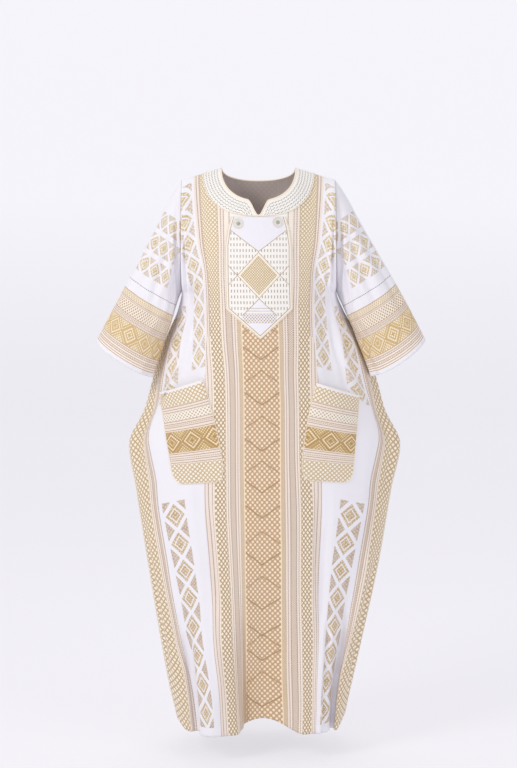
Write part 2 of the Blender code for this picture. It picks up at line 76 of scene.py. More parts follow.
# Lines of the woven pattern, as cloth distance from the centre line.
LINES = {"centre": 0.0, "column": 0.044, "lattice": 0.108, "block": 0.2075,
         "band": 0.305, "seam": 0.370}
NECK_LINE = 0.085        # the pattern line that ends at the neck side
SEAM = LINES["seam"]

# Where those lines hang, as distance from the centre line at each height.
SECTION_COLUMNS = ("z", "column", "lattice", "block", "band", "seam")
SECTIONS = {
    "left": (
        (0.000, 0.046, 0.1200, 0.166, 0.185, 0.190),
        (-0.305, 0.046, 0.1100, 0.162, 0.185, 0.193),
        (-0.350, 0.045, 0.1110, 0.163, 0.192, 0.204),
        (-0.420, 0.045, 0.1100, 0.167, 0.213, 0.237),
        (-0.515, 0.044, 0.1040, 0.177, 0.235, 0.271),
        (-0.600, 0.044, 0.1020, 0.184, 0.257, 0.295),
        (-0.690, 0.044, 0.1000, 0.189, 0.281, 0.334),
        (-0.800, 0.043, 0.0970, 0.194, 0.281, 0.318),
        (-0.980, 0.041, 0.0880, 0.176, 0.256, 0.290),
        (-1.180, 0.038, 0.0770, 0.151, 0.217, 0.257),
        (-1.295, 0.038, 0.0680, 0.134, 0.197, 0.236),
        (-1.390, 0.036, 0.0620, 0.128, 0.185, 0.212)),
    "right": (
        (0.000, 0.046, 0.1200, 0.166, 0.185, 0.190),
        (-0.305, 0.046, 0.1110, 0.162, 0.185, 0.193),
        (-0.350, 0.045, 0.1090, 0.163, 0.196, 0.209),
        (-0.420, 0.045, 0.1080, 0.168, 0.219, 0.248),
        (-0.515, 0.044, 0.1040, 0.178, 0.243, 0.287),
        (-0.600, 0.045, 0.1040, 0.185, 0.266, 0.309),
        (-0.690, 0.045, 0.1040, 0.193, 0.290, 0.348),
        (-0.800, 0.046, 0.1050, 0.197, 0.289, 0.327),
        (-0.980, 0.048, 0.1055, 0.181, 0.263, 0.297),
        (-1.180, 0.048, 0.1070, 0.163, 0.221, 0.254),
        (-1.295, 0.049, 0.1070, 0.153, 0.198, 0.228),
        (-1.390, 0.050, 0.1040, 0.150, 0.187, 0.206))}

# Depth of the hollow: the middle of each panel, how sharp the sides are, and
# where the side seams hang; behind the sleeves they hang further back.
DEPTH_COLUMNS = ("z", "front", "back", "edge", "side_y")
DEPTHS = (
    (-0.305, 0.135, 0.115, 0.50, 0.000),
    (-0.350, 0.138, 0.116, 0.60, 0.018),
    (-0.420, 0.141, 0.117, 0.70, 0.034),
    (-0.500, 0.145, 0.119, 0.72, 0.034),
    (-0.600, 0.150, 0.122, 0.76, 0.010),
    (-0.690, 0.152, 0.124, 0.80, 0.000),
    (-0.800, 0.155, 0.126, 0.68, 0.000),
    (-0.980, 0.160, 0.130, 0.55, 0.000),
    (-1.180, 0.166, 0.136, 0.46, 0.000),
    (-1.390, 0.172, 0.142, 0.36, 0.000))

# Folds: a soft trough (or a ridge, where depth is below zero) that runs from
# one pattern line at z_top to another at z_low.  It grows over the height
# "fade" and stays open where it reaches the hem.
FOLD_COLUMNS = ("side", "line_top", "z_top", "line_low", "z_low", "half",
                "depth", "fade")
FRONT_FOLDS = (
    ("left", 0.000, -0.90, 0.000, -1.40, 0.140, 0.058, 0.46),
    ("left", 0.060, -1.06, 0.064, -1.40, 0.046, 0.018, 0.30),
    ("right", 0.000, -0.90, 0.000, -1.40, 0.115, 0.060, 0.46),
    ("left", 0.190, -1.00, 0.214, -1.40, 0.090, -0.034, 0.36),
    ("right", 0.180, -1.00, 0.205, -1.40, 0.065, -0.014, 0.36),
    ("left", 0.262, -1.04, 0.258, -1.40, 0.027, 0.015, 0.28),
    ("right", 0.248, -0.98, 0.250, -1.40, 0.029, 0.026, 0.28),
    ("left", 0.160, -0.62, 0.150, -1.10, 0.034, 0.011, 0.22),
    ("right", 0.155, -0.72, 0.165, -1.15, 0.032, 0.011, 0.22),
    ("left", 0.312, -0.80, 0.312, -1.40, 0.050, -0.018, 0.35),
    ("right", 0.305, -0.80, 0.308, -1.40, 0.048, -0.018, 0.35),
    ("left", 0.150, -0.18, 0.205, -0.50, 0.038, 0.011, 0.16),
    ("right", 0.150, -0.18, 0.200, -0.48, 0.038, 0.012, 0.16),
    ("left", 0.330, -0.58, 0.285, -0.90, 0.036, 0.012, 0.14),
    ("right", 0.330, -0.58, 0.280, -0.92, 0.036, 0.012, 0.14))
BACK_FOLDS = (
    ("both", 0.000, -0.26, 0.000, -1.40, 0.060, 0.026, 0.40),
    ("left", 0.130, -0.42, 0.140, -1.40, 0.045, 0.036, 0.50),
    ("right", 0.140, -0.48, 0.125, -1.40, 0.045, 0.040, 0.50),
    ("left", 0.235, -0.66, 0.240, -1.40, 0.040, 0.042, 0.50),
    ("right", 0.240, -0.70, 0.235, -1.40, 0.040, 0.040, 0.50),
    ("left", 0.312, -0.80, 0.312, -1.40, 0.050, -0.016, 0.35),
    ("right", 0.308, -0.80, 0.308, -1.40, 0.050, -0.016, 0.35))

# Sleeves: upper and lower edge at stations from the armhole to the cuff.
SLEEVE_COLUMNS = ("along", "top_x", "top_z", "low_x", "low_z", "half", "mid_y",
                  "front_drop")
SLEEVES = {
    "left": (
        (0.00, 0.190, -0.028, 0.193, -0.305, 0.060, 0.000, 0.000),
        (0.12, 0.214, -0.062, 0.202, -0.330, 0.067, -0.001, 0.000),
        (0.32, 0.253, -0.139, 0.216, -0.376, 0.069, -0.004, 0.000),
        (0.55, 0.304, -0.237, 0.233, -0.424, 0.064, -0.008, 0.003),
        (0.80, 0.360, -0.344, 0.251, -0.480, 0.058, -0.012, 0.006),
        (1.00, 0.405, -0.428, 0.262, -0.518, 0.053, -0.015, 0.010)),
    "right": (
        (0.00, 0.190, -0.028, 0.193, -0.305, 0.060, 0.000, 0.000),
        (0.12, 0.214, -0.062, 0.204, -0.328, 0.067, -0.001, 0.000),
        (0.32, 0.254, -0.134, 0.222, -0.368, 0.069, -0.004, 0.000),
        (0.55, 0.311, -0.232, 0.243, -0.416, 0.064, -0.008, 0.004),
        (0.80, 0.369, -0.334, 0.264, -0.470, 0.058, -0.012, 0.008),
        (1.00, 0.415, -0.422, 0.279, -0.514, 0.053, -0.015, 0.014))}

# Bib: half width at each height; it ends in a point.
BIB_OUTLINE = ((0.066, -0.1215), (0.0745, -0.152), (0.080, -0.192),
               (0.080, -0.345), (0.001, -0.4165))

# Pockets: corners in the plane of the front, and the open mouth.
POCKET_CORNERS = {
    "left": {"top_out": (-0.246, -0.557), "top_in": (-0.136, -0.518),
             "low_in": (-0.082, -0.764), "low_out": (-0.207, -0.777)},
    "right": {"top_out": (0.249, -0.5615), "top_in": (0.141, -0.526),
              "low_in": (0.104, -0.760), "low_out": (0.230, -0.773)}}
POCKET_BOW = 0.008       # the inner side bows out by this
POCKET_ROUND = 0.16      # share of the height taken by the round corners
POCKET_MOUTH = 0.021     # how far the mouth stands open
POCKET_CLOSING = 1.3     # how soon it closes down the pocket
POCKET_LIPS = 0.7        # and towards the mouth's corners
POCKET_CROWD = 0.9       # the rows stand a little closer near the mouth
POCKET_PATTERN = 0.236   # height of the woven pattern on a pocket
POCKET_LIFT = 0.0006     # between the front and the pocket's back
POCKET_BRIDGE = 0.005    # the pocket spans dents narrower than this

SHELL = 0.0013           # cloth thickness that shows at the cut edges
LAID_ON = 0.0011         # thickness of the pieces sewn on a panel
SEAM_GAP = 0.0003        # between pieces that meet at a seam
LIFT = 0.0005            # between a panel and what lies on it
HEM_FOLD = 0.018         # depth of the turned hems
HEM_THICK = 0.0006       # how much the turned cloth adds

CREASE_SHARP = 1.6       # a crease's section, in half widths from its line
CREASE_LIP = 0.35        # height of the lip on each side, and where it is
CREASE_LIP_AT = 1.7
CREASE_GROWS = 0.35      # share of its length over which it grows

# Creases: the main soft troughs (depth below zero) and ridges that the cloth
# falls into, from one point of the cloth to another, with a slight bow.
CREASE_COLUMNS = ("side", "line_top", "z_top", "line_low", "z_low", "bow",
                  "half", "depth")
FRONT_CREASES = (
    ("left", 0.300, -0.120, 0.255, -0.400, 0.010, 0.020, -0.0075),
    ("left", 0.215, -0.220, 0.232, -0.470, -0.006, 0.016, -0.0063),
    ("left", 0.262, -0.330, 0.318, -0.640, 0.008, 0.017, -0.0090),
    ("left", 0.238, -0.360, 0.262, -0.560, 0.004, 0.012, 0.0048),
    ("left", 0.335, -0.520, 0.322, -0.800, 0.010, 0.018, -0.0075),
    ("left", 0.142, -0.780, 0.136, -1.130, 0.003, 0.010, -0.0045),
    ("left", 0.152, -1.020, 0.160, -1.330, -0.004, 0.012, 0.0036),
    ("left", 0.052, -1.020, 0.054, -1.385, 0.002, 0.009, -0.0051),
    ("left", 0.236, -1.110, 0.262, -1.385, 0.006, 0.014, -0.0068),
    ("left", 0.276, -0.960, 0.284, -1.300, -0.004, 0.014, 0.0045),
    ("left", 0.346, -0.860, 0.350, -1.300, 0.004, 0.013, -0.0060),
    ("right", 0.296, -0.110, 0.262, -0.370, 0.009, 0.019, -0.0078),
    ("right", 0.224, -0.250, 0.236, -0.500, -0.005, 0.017, -0.0060),
    ("right", 0.266, -0.320, 0.312, -0.600, 0.010, 0.016, -0.0087),
    ("right", 0.244, -0.390, 0.270, -0.590, 0.003, 0.013, 0.0051),
    ("right", 0.338, -0.560, 0.326, -0.840, 0.008, 0.018, -0.0072),
    ("right", 0.144, -0.760, 0.150, -1.090, -0.004, 0.011, -0.0051),
    ("right", 0.054, -0.960, 0.050, -1.240, 0.002, 0.010, -0.0033),
    ("right", 0.190, -1.060, 0.212, -1.385, 0.005, 0.013, -0.0066),
    ("right", 0.262, -1.100, 0.266, -1.385, 0.004, 0.014, -0.0068),
    ("right", 0.300, -0.900, 0.296, -1.180, 0.006, 0.014, 0.0042),
    ("right", 0.348, -0.920, 0.344, -1.340, -0.004, 0.013, -0.0063))
BACK_CREASES = (
    ("left", 0.292, -0.130, 0.240, -0.420, 0.012, 0.021, -0.0084),
    ("left", 0.190, -0.160, 0.168, -0.520, -0.008, 0.018, -0.0060),
    ("left", 0.070, -0.200, 0.076, -0.620, 0.006, 0.016, -0.0054),
    ("left", 0.255, -0.360, 0.300, -0.700, 0.010, 0.017, -0.0090),
    ("left", 0.184, -0.640, 0.190, -1.220, 0.006, 0.014, -0.0069),
    ("left", 0.100, -0.760, 0.092, -1.380, -0.005, 0.013, 0.0051),
    ("left", 0.270, -0.840, 0.276, -1.360, 0.006, 0.015, -0.0072),
    ("left", 0.340, -0.660, 0.346, -1.120, 0.005, 0.014, -0.0069),
    ("right", 0.288, -0.120, 0.236, -0.390, 0.010, 0.020, -0.0081),
    ("right", 0.176, -0.180, 0.186, -0.480, 0.007, 0.017, -0.0066),
    ("right", 0.064, -0.240, 0.058, -0.560, -0.005, 0.015, -0.0048),
    ("right", 0.252, -0.400, 0.304, -0.740, 0.009, 0.018, -0.0087),
    ("right", 0.190, -0.700, 0.180, -1.300, -0.006, 0.014, -0.0066),
    ("right", 0.090, -0.820, 0.098, -1.380, 0.004, 0.013, 0.0045),
    ("right", 0.282, -0.780, 0.288, -1.300, 0.006, 0.014, -0.0075),
    ("right", 0.344, -0.740, 0.338, -1.260, -0.005, 0.014, -0.0066))
# The same on the sleeves: around from the top edge (0) to the underarm (1),
# in front of it or behind, and along from the armhole (0) to the cuff (1).
SLEEVE_CREASE_COLUMNS = ("face", "around_in", "along_in", "around_out",
                         "along_out", "half", "depth")
SLEEVE_CREASES = {
    "left": (
        ("front", 0.60, 0.06, 0.88, 0.50, 0.070, -0.0083),
        ("front", 0.40, 0.10, 0.55, 0.60, 0.060, -0.0060),
        ("front", 0.78, 0.16, 0.62, 0.74, 0.055, 0.0051),
        ("front", 0.22, 0.18, 0.30, 0.80, 0.060, -0.0045),
        ("front", 0.90, 0.45, 0.80, 0.98, 0.050, -0.0060),
        ("back", 0.55, 0.08, 0.80, 0.56, 0.070, -0.0078),
        ("back", 0.34, 0.14, 0.44, 0.72, 0.060, -0.0054),
        ("back", 0.72, 0.30, 0.60, 0.92, 0.060, -0.0060)),
    "right": (
        ("front", 0.56, 0.06, 0.84, 0.46, 0.070, -0.0078),
        ("front", 0.36, 0.12, 0.50, 0.66, 0.060, -0.0063),
        ("front", 0.76, 0.20, 0.66, 0.80, 0.055, 0.0045),
        ("front", 0.20, 0.22, 0.24, 0.86, 0.060, -0.0042),
        ("front", 0.92, 0.40, 0.84, 0.98, 0.050, -0.0063),
        ("back", 0.60, 0.08, 0.84, 0.60, 0.070, -0.0075),
        ("back", 0.30, 0.16, 0.40, 0.78, 0.060, -0.0057),
        ("back", 0.76, 0.34, 0.64, 0.94, 0.060, -0.0036))}
# The tuck of a sleeve beside its armhole, in front: how far along and around
# it is deepest, how far it spreads, and how deep it is.
TUCK_ALONG = 0.075
TUCK_SPREAD_ALONG = 0.062
TUCK_AROUND = 0.60
TUCK_SPREAD_AROUND = 0.42
TUCK_DEPTH = 0.0085

# How steeply the woven rows dip outwards, beside the straight middle strips.
DIP_FROM = 0.120
DIP_HEIGHTS = (-1.39, -1.20, -1.05, -0.85, -0.60, -0.42, -0.30, -0.10, 0.0)
DIP_SLOPES = (0.0, 0.07, 0.15, 0.26, 0.28, 0.20, 0.17, 0.12, 0.05)


# ---------------------------------------------------------------- curves
def column_of(table, names, name):
    """One named column of a table, as an array."""
    return np.array([row[names.index(name)] for row in table])


def smooth_through(knots, values, at):
    """A smooth curve through the knots that never overshoots them."""
    order = np.argsort(knots)
    knots = np.asarray(knots, float)[order]
    values = np.asarray(values, float)[..., order]
    step = np.diff(knots)
    slope = np.diff(values, axis=-1) / step
    tangent = np.empty_like(values)
    tangent[..., 0] = slope[..., 0]
    tangent[..., -1] = slope[..., -1]
    product = slope[..., :-1] * slope[..., 1:]
    total = slope[..., :-1] + slope[..., 1:]
    safe = np.where(product > 0, total, 1.0)
    tangent[..., 1:-1] = np.where(product > 0, 2 * product / safe, 0.0)
    at = np.clip(np.asarray(at, float), knots[0], knots[-1])
    cell = np.clip(np.searchsorted(knots, at) - 1, 0, len(step) - 1)
    t = (at - knots[cell]) / step[cell]

    def pick(array, index):
        if array.ndim == 1:
            return array[index]
        return np.take_along_axis(array, index[..., None], -1)[..., 0]

    return ((1 + 2 * t) * (1 - t) ** 2 * pick(values, cell)
            + t * (1 - t) ** 2 * step[cell] * pick(tangent, cell)
            + t * t * (3 - 2 * t) * pick(values, cell + 1)
            + t * t * (t - 1) * step[cell] * pick(tangent, cell + 1))


def ease(value):
    value = np.clip(value, 0.0, 1.0)
    return value * value * (3 - 2 * value)


def swell(away):
    """1 in the middle of a fold and 0 at its edges, where away is 1."""
    return 0.5 * (1 + np.cos(np.pi * np.minimum(1.0, np.abs(away))))


def centre_line(z):
    return LEAN * ease((LEAN_FROM - z) / (LEAN_FROM - LEAN_TO))


def reach(side, line, z):
    """Distance of the pattern lines from the centre line at their heights."""
    table = SECTIONS[side]
    heights = column_of(table, SECTION_COLUMNS, "z")
    places = [np.zeros_like(z)]
    for name in SECTION_COLUMNS[1:]:
        places.append(smooth_through(
            heights, column_of(table, SECTION_COLUMNS, name), z))
    return smooth_through(list(LINES.values()), np.stack(places, -1), line)


def depth_value(name, z):
    return smooth_through(column_of(DEPTHS, DEPTH_COLUMNS, "z"),
                          column_of(DEPTHS, DEPTH_COLUMNS, name), z)


def fold_depth(folds, side, line, z):
    """How far the solid's own folds push the cloth inwards."""
    total = np.zeros_like(z)
    for row in folds:
        fold = dict(zip(FOLD_COLUMNS, row))
        if fold["side"] not in (side, "both"):
            continue
        along = (fold["z_top"] - z) / (fold["z_top"] - fold["z_low"])
        sweep = fold["line_low"] - fold["line_top"]
        centre = fold["line_top"] + sweep * np.clip(along, 0.0, 1.0)
        grown = ease((fold["z_top"] - z) / fold["fade"])
        past = 1.0
        if fold["z_low"] > HEM:
            past = ease((z - fold["z_low"]) / fold["fade"] + 0.5)
        total += fold["depth"] * grown * past * swell((line - centre) / fold["half"])
    return total


def crease_shape(away):
    """A crease across its line: a trough or ridge with a small lip each side."""
    lip = np.exp(-CREASE_SHARP * (np.abs(away) - CREASE_LIP_AT) ** 2)
    return np.exp(-CREASE_SHARP * away ** 2) - CREASE_LIP * lip


def crease_taper(along, open_end):
    """How a crease grows from its start and dies at its end, unless that is open."""
    return ease(along / CREASE_GROWS) * (1.0 if open_end else ease((1 - along) / CREASE_GROWS))


def crease_height(creases, side, line, z):
    """How far the creases lift the cloth along its normal."""
    total = np.zeros_like(z)
    for row in creases:
        crease = dict(zip(CREASE_COLUMNS, row))
        if crease["side"] != side:
            continue
        span = crease["z_top"] - crease["z_low"]
        along = (crease["z_top"] - z) / span
        middle = np.clip(along, 0.0, 1.0)
        centre = crease["line_top"] + middle * (crease["line_low"] - crease["line_top"])
        centre = centre + crease["bow"] * 4 * middle * (1 - middle)
        away = (line - centre) / crease["half"]
        open_end = crease["z_low"] < HEM + 0.02
        taper = crease_taper(along, open_end) * (along > 0) * ((along < 1) | open_end)
        total += crease["depth"] * taper * crease_shape(away)
    return total


# ---------------------------------------------------------------- the form
def neck_height(x, face):
    """Height of the neck's cut edge at a distance from the centre line."""
    drop = NECK_DROP if face == "front" else NECK_DROP_BACK
    round_part = np.maximum(0.0, 1 - (x / NECK_SIDE) ** NECK_ROUND) ** (1 / NECK_ROUND)
    height = -drop * round_part
    if face == "front":
        height = height - NOTCH_DROP * swell(x / NOTCH_HALF)
    return height


def shoulder_height(x):
    return -SHOULDER_FALL * (x - NECK_SIDE) / (SHOULDER_END - NECK_SIDE)


def hem_height(face, side, line):
    height = HEM + HEM_SIDE_RISE[side] * swell((SEAM - line) / HEM_SIDE_HALF)
    if face == "front":
        height = height + HEM_RISE * swell(line / HEM_RISE_HALF)
    return height


def armhole_bulge(share):
    """Half depth of an armhole or sleeve ring, as a share of its largest."""
    return np.maximum(0.0, 4 * share * (1 - share)) ** ARMHOLE_ROUND


def cloth_place(face, side, line, z):
    """The panel's outer point at a pattern line and a height."""
    sign = -1 if side == "left" else 1
    outward = -1 if face == "front" else 1
    x = reach(side, line, z)
    across = np.minimum(1.0, x / reach(side, np.full_like(z, SEAM), z))
    ridge = np.where(line < NECK_LINE, 0.0,
                     shoulder_height(reach(side, line, np.zeros_like(z))))
    fallen = np.clip((ridge - z) / (ridge - UNDERARM), 0.0, 1.0)
    rise = (1 - (1 - fallen) ** CHEST_START) ** CHEST_ROUND[face]
    beside = ease((line - LINES["lattice"]) / (SEAM - LINES["lattice"]))
    top = depth_value(face, UNDERARM) * (1 - across ** 2) ** CHEST_EDGE * rise
    top = top + beside * ARMHOLE_BULGE * armhole_bulge(fallen)
    back_by = depth_value("side_y", z)
    low = (depth_value(face, z) - outward * back_by) * (
        1 - across ** 2) ** depth_value("edge", z) + outward * back_by
    depth = np.where(z >= UNDERARM, top, low)
    depth = depth - fold_depth(FRONT_FOLDS if face == "front" else BACK_FOLDS,
                               side, line, z)
    return np.stack([centre_line(z) + sign * x, outward * depth, z], -1)


def place_at(face, x, z):
    """The panel's outer point at a place in the plane of the front."""
    x, z = np.broadcast_arrays(np.asarray(x, float), np.asarray(z, float))
    flat_x = (x - centre_line(z)).ravel()
    flat_z = z.ravel()
    out = np.zeros((flat_x.size, 3))
    for side, chosen in (("left", flat_x < 0), ("right", flat_x >= 0)):
        if not chosen.any():
            continue
        away = np.abs(flat_x[chosen])
        level = flat_z[chosen]
        low = np.zeros_like(away)
        high = np.full_like(away, SEAM)
        for _ in range(22):
            middle = (low + high) / 2
            inside = reach(side, middle, level) < away
            low = np.where(inside, middle, low)
            high = np.where(inside, high, middle)
        out[chosen] = cloth_place(face, side, (low + high) / 2, level)
    return out.reshape(x.shape + (3,))


def woven_row(line, z):
    """The cloth's own coordinate down the panel, which the pattern follows."""
    slope = smooth_through(DIP_HEIGHTS, DIP_SLOPES, z)
    return -z - slope * np.maximum(0.0, line - DIP_FROM)


# How far across the woven pattern a few lines of the panel lie, row by row:
# the strips fan out over the chest and run off at the armhole.
WEAVE_LINES = (0.0, 0.044, 0.092, 0.124, 0.165, 0.250, 0.300, 0.370)
WEAVE = (
    (0.03, 0.0, 0.0395, 0.0910, 0.1070, 0.130, 0.155, 0.158, 0.162),
    (0.08, 0.0, 0.0395, 0.0912, 0.1080, 0.132, 0.157, 0.162, 0.170),
    (0.18, 0.0, 0.0408, 0.0915, 0.1120, 0.138, 0.172, 0.182, 0.200),
    (0.27, 0.0, 0.0424, 0.0905, 0.1210, 0.157, 0.197, 0.218, 0.262),
    (0.35, 0.0, 0.0440, 0.0918, 0.1240, 0.158, 0.212, 0.240, 0.308),
    (0.45, 0.0, 0.0440, 0.0918, 0.1240, 0.157, 0.220, 0.243, 0.328),
    (0.55, 0.0, 0.0440, 0.0905, 0.1240, 0.160, 0.222, 0.246, 0.342),
    (0.65, 0.0, 0.0440, 0.0890, 0.1210, 0.162, 0.224, 0.265, 0.357),
    (0.75, 0.0, 0.0440, 0.0870, 0.1220, 0.160, 0.239, 0.284, 0.360),
    (0.85, 0.0, 0.0445, 0.0845, 0.1190, 0.160, 0.243, 0.288, 0.360),
    (1.05, 0.0, 0.0440, 0.0867, 0.1200, 0.159, 0.244, 0.289, 0.360),
    (1.15, 0.0, 0.0435, 0.0856, 0.1140, 0.152, 0.238, 0.290, 0.360),
    (1.25, 0.0, 0.0430, 0.0848, 0.1122, 0.150, 0.243, 0.302, 0.360),
    (1.38, 0.0, 0.0400, 0.0827, 0.1098, 0.148, 0.246, 0.306, 0.360))


def woven_line(line, row):
    """The cloth's own coordinate across the panel, which the pattern follows."""
    table = np.array(WEAVE)
    places = [smooth_through(table[:, 0], places, row) for places in table[:, 1:].T]
    return smooth_through(WEAVE_LINES, np.stack(places, -1), line)


# ---------------------------------------------------------------- meshes
def unit(vectors):
    return vectors / np.maximum(np.linalg.norm(vectors, axis=-1, keepdims=True), 1e-9)


def grid_normals(grid, closed=False):
    down = np.empty_like(grid)
    down[1:-1] = grid[2:] - grid[:-2]
    down[0] = grid[1] - grid[0]
    down[-1] = grid[-1] - grid[-2]
    if closed:
        across = np.roll(grid, -1, axis=1) - np.roll(grid, 1, axis=1)
    else:
        across = np.empty_like(grid)
        across[:, 1:-1] = grid[:, 2:] - grid[:, :-2]
        across[:, 0] = grid[:, 1] - grid[:, 0]
        across[:, -1] = grid[:, -1] - grid[:, -2]
    return unit(np.cross(across, down))


def lengths_along(points, axis=0):
    """Distance walked along one axis of a path or grid of points, from 0."""
    step = np.linalg.norm(np.diff(points, axis=axis), axis=-1)
    start = np.zeros_like(np.take(step, [0], axis=axis))
    return np.concatenate([start, np.cumsum(step, axis=axis)], axis=axis)


def quad_table(rows, columns, closed):
    """Corner numbers of a grid's faces, in the grid and in its UV table."""
    wide = columns if closed else columns - 1
    r, c = np.meshgrid(np.arange(rows - 1), np.arange(wide), indexing="ij")
    r = r.ravel()
    c = c.ravel()
    after = (c + 1) % columns
    corners = np.stack([r * columns + c, (r + 1) * columns + c,
                        (r + 1) * columns + after, r * columns + after], -1)
    span = columns + 1 if closed else columns
    marks = np.stack([r * span + c, (r + 1) * span + c,
                      (r + 1) * span + c + 1, r * span + c + 1], -1)
    return corners, marks


def rim_loop(rows, columns, closed):
    """Grid points along the open edges, as (first, second) pairs."""
    wide = columns if closed else columns - 1
    c = np.arange(wide)
    after = (c + 1) % columns
    last = (rows - 1) * columns
    pairs = [np.stack([c, after], -1), np.stack([last + after, last + c], -1)]
    if not closed:
        r = np.arange(rows - 1)
        pairs.append(np.stack([(r + 1) * columns, r * columns], -1))
        pairs.append(np.stack([r * columns + columns - 1,
                               (r + 1) * columns + columns - 1], -1))
    return np.concatenate(pairs)


def make_object(name, verts, faces, layers, materials, slots):
    mesh = bpy.data.meshes.new(name)
    mesh.from_pydata(verts.tolist(), [], faces.tolist())
    for layer_name, corner_uv in layers.items():
        layer = mesh.uv_layers.new(name=layer_name)
        layer.data.foreach_set("uv", corner_uv.astype(np.float32).ravel())
    for material in materials:
        mesh.materials.append(material)
    mesh.polygons.foreach_set("material_index", slots.astype(np.int32))
    mesh.shade_smooth()
    mesh.update()
    obj = bpy.data.objects.new(name, mesh)
    bpy.context.scene.collection.objects.link(obj)
    return obj


def shell(name, outer, inner, uv, materials, closed=False, flip=False):
    """A thin closed cloth piece between two grids, with UVs in metres.

    uv has one column more than the grid where the grid is closed.  The
    first material is on the right side, the second on the wrong side."""
    rows, columns = outer.shape[:2]
    count = rows * columns
    verts = np.concatenate([outer.reshape(-1, 3), inner.reshape(-1, 3)])
    corners, marks = quad_table(rows, columns, closed)
    rim = rim_loop(rows, columns, closed)
    rim_faces = np.stack([rim[:, 0], rim[:, 1], rim[:, 1] + count, rim[:, 0] + count], -1)
    faces = np.concatenate([corners, corners[:, ::-1] + count, rim_faces])
    table = uv.reshape(-1, 2)
    plain = table[marks]
    on_rim = np.zeros((len(rim), 4, 2))
    edge_uv = uv[:, :columns].reshape(-1, 2)
    on_rim[:, 0] = on_rim[:, 3] = edge_uv[rim[:, 0]]
    on_rim[:, 1] = on_rim[:, 2] = edge_uv[rim[:, 1]]
    cloth_uv = np.concatenate([plain, plain[:, ::-1], on_rim])
    span = uv.shape[1]
    r, c = np.meshgrid(np.arange(rows), np.arange(span), indexing="ij")
    square = np.stack([c / (span - 1), 1 - r / (rows - 1)], -1).reshape(-1, 2)
    front_bake = square[marks] * (0.70, 0.96) + (0.004, 0.004)
    back_bake = (square[marks] * (0.28, 0.96) + (0.712, 0.004))[:, ::-1]
    step = np.arange(len(rim)) / len(rim)
    rim_bake = np.zeros((len(rim), 4, 2))
    rim_bake[:, 0] = np.stack([step, np.full_like(step, 0.972)], -1)
    rim_bake[:, 1] = rim_bake[:, 0] + (1 / len(rim), 0)
    rim_bake[:, 2] = rim_bake[:, 1] + (0, 0.02)
    rim_bake[:, 3] = rim_bake[:, 0] + (0, 0.02)
    bake_uv = np.concatenate([front_bake, back_bake, rim_bake])
    slots = np.zeros(len(faces))
    slots[len(corners):2 * len(corners)] = len(materials) - 1
    if flip:
        faces = faces[:, ::-1]
        cloth_uv = cloth_uv[:, ::-1]
        bake_uv = bake_uv[:, ::-1]
    return make_object(name, verts, faces, {"Cloth": cloth_uv, "OFBake": bake_uv},
                       materials, slots)


def tube(name, path, radius, material, closed=False, sides=10):
    """A cord along a path; its UV runs around and then along, in metres."""
    path = np.asarray(path, float)
    if closed:
        tangent = np.roll(path, -1, axis=0) - np.roll(path, 1, axis=0)
    else:
        tangent = np.gradient(path, axis=0)
    tangent = unit(tangent)
    side = np.cross(tangent, (0.0, 1.0, 0.0))
    weak = np.linalg.norm(side, axis=1) < 0.2
    side[weak] = np.cross(tangent[weak], (1.0, 0.0, 0.0))
    for i in range(1, len(side)):
        if np.dot(side[i], side[i - 1]) < 0:
            side[i] = -side[i]
    side = unit(side)
    up = unit(np.cross(side, tangent))
    angle = np.linspace(0, 2 * np.pi, sides, endpoint=False)
    ring = (np.cos(angle)[None, :, None] * side[:, None]
            + np.sin(angle)[None, :, None] * up[:, None]) * radius
    grid = path[:, None] + ring
    lengths = np.linalg.norm(np.diff(path, axis=0), axis=1)
    if closed:
        grid = np.concatenate([grid, grid[:1]])
        lengths = np.append(lengths, np.linalg.norm(path[0] - path[-1]))
    along = np.concatenate([[0.0], np.cumsum(lengths)])
    rows = len(grid)
    around = np.linspace(0, 2 * np.pi * radius, sides + 1)
    uv = np.stack(np.broadcast_arrays(around[None, :], along[:, None]), -1)
    corners, marks = quad_table(rows, sides, True)
    square = np.stack(np.broadcast_arrays(
        np.linspace(0.02, 0.98, sides + 1)[None, :],
        np.linspace(0.02, 0.98, rows)[:, None]), -1).reshape(-1, 2)
    return make_object(name, grid.reshape(-1, 3), corners,
                       {"Cloth": uv.reshape(-1, 2)[marks], "OFBake": square[marks]},
                       [material], np.zeros(len(corners)))


# ---------------------------------------------------------------- colours
def srgb(red, green, blue):
    """Linear colour of a screen colour given from 0 to 255."""
    values = np.array([red, green, blue]) / 255
    linear = np.where(values <= 0.04045, values / 12.92, ((values + 0.055) / 1.055) ** 2.4)
    return (*linear.tolist(), 1.0)


WHITE = srgb(246, 244, 250)
IVORY = srgb(252, 245, 230)
CREAM = srgb(250, 230, 204)
GLINT = srgb(252, 230, 200)
GOLD = srgb(198, 165, 128)
OLIVE_GOLD = srgb(208, 182, 142)
BLUSH = srgb(242, 230, 226)
GREY_THREAD = srgb(158, 150, 148)
LINE_GOLD = srgb(182, 153, 120)
LINE_ROSE = srgb(184, 152, 134)
LINE_BROWN = srgb(156, 132, 114)
WARM_WHITE = srgb(251, 248, 243)
PINK_CREAM = srgb(246, 232, 220)


# ---------------------------------------------------------------- patterns
class Field:
    """A number that varies over the cloth, kept as a socket of a node tree."""

    def __init__(self, tree, socket):
        self.tree = tree
        self.socket = socket

    def __add__(self, other):
        return calc("ADD", self, other)

    def __sub__(self, other):
        return calc("SUBTRACT", self, other)

    def __rsub__(self, other):
        return calc("SUBTRACT", other, self)

    def __mul__(self, other):
        return calc("MULTIPLY", self, other)

    def __truediv__(self, other):
        return calc("DIVIDE", self, other)

    __radd__ = __add__
    __rmul__ = __mul__


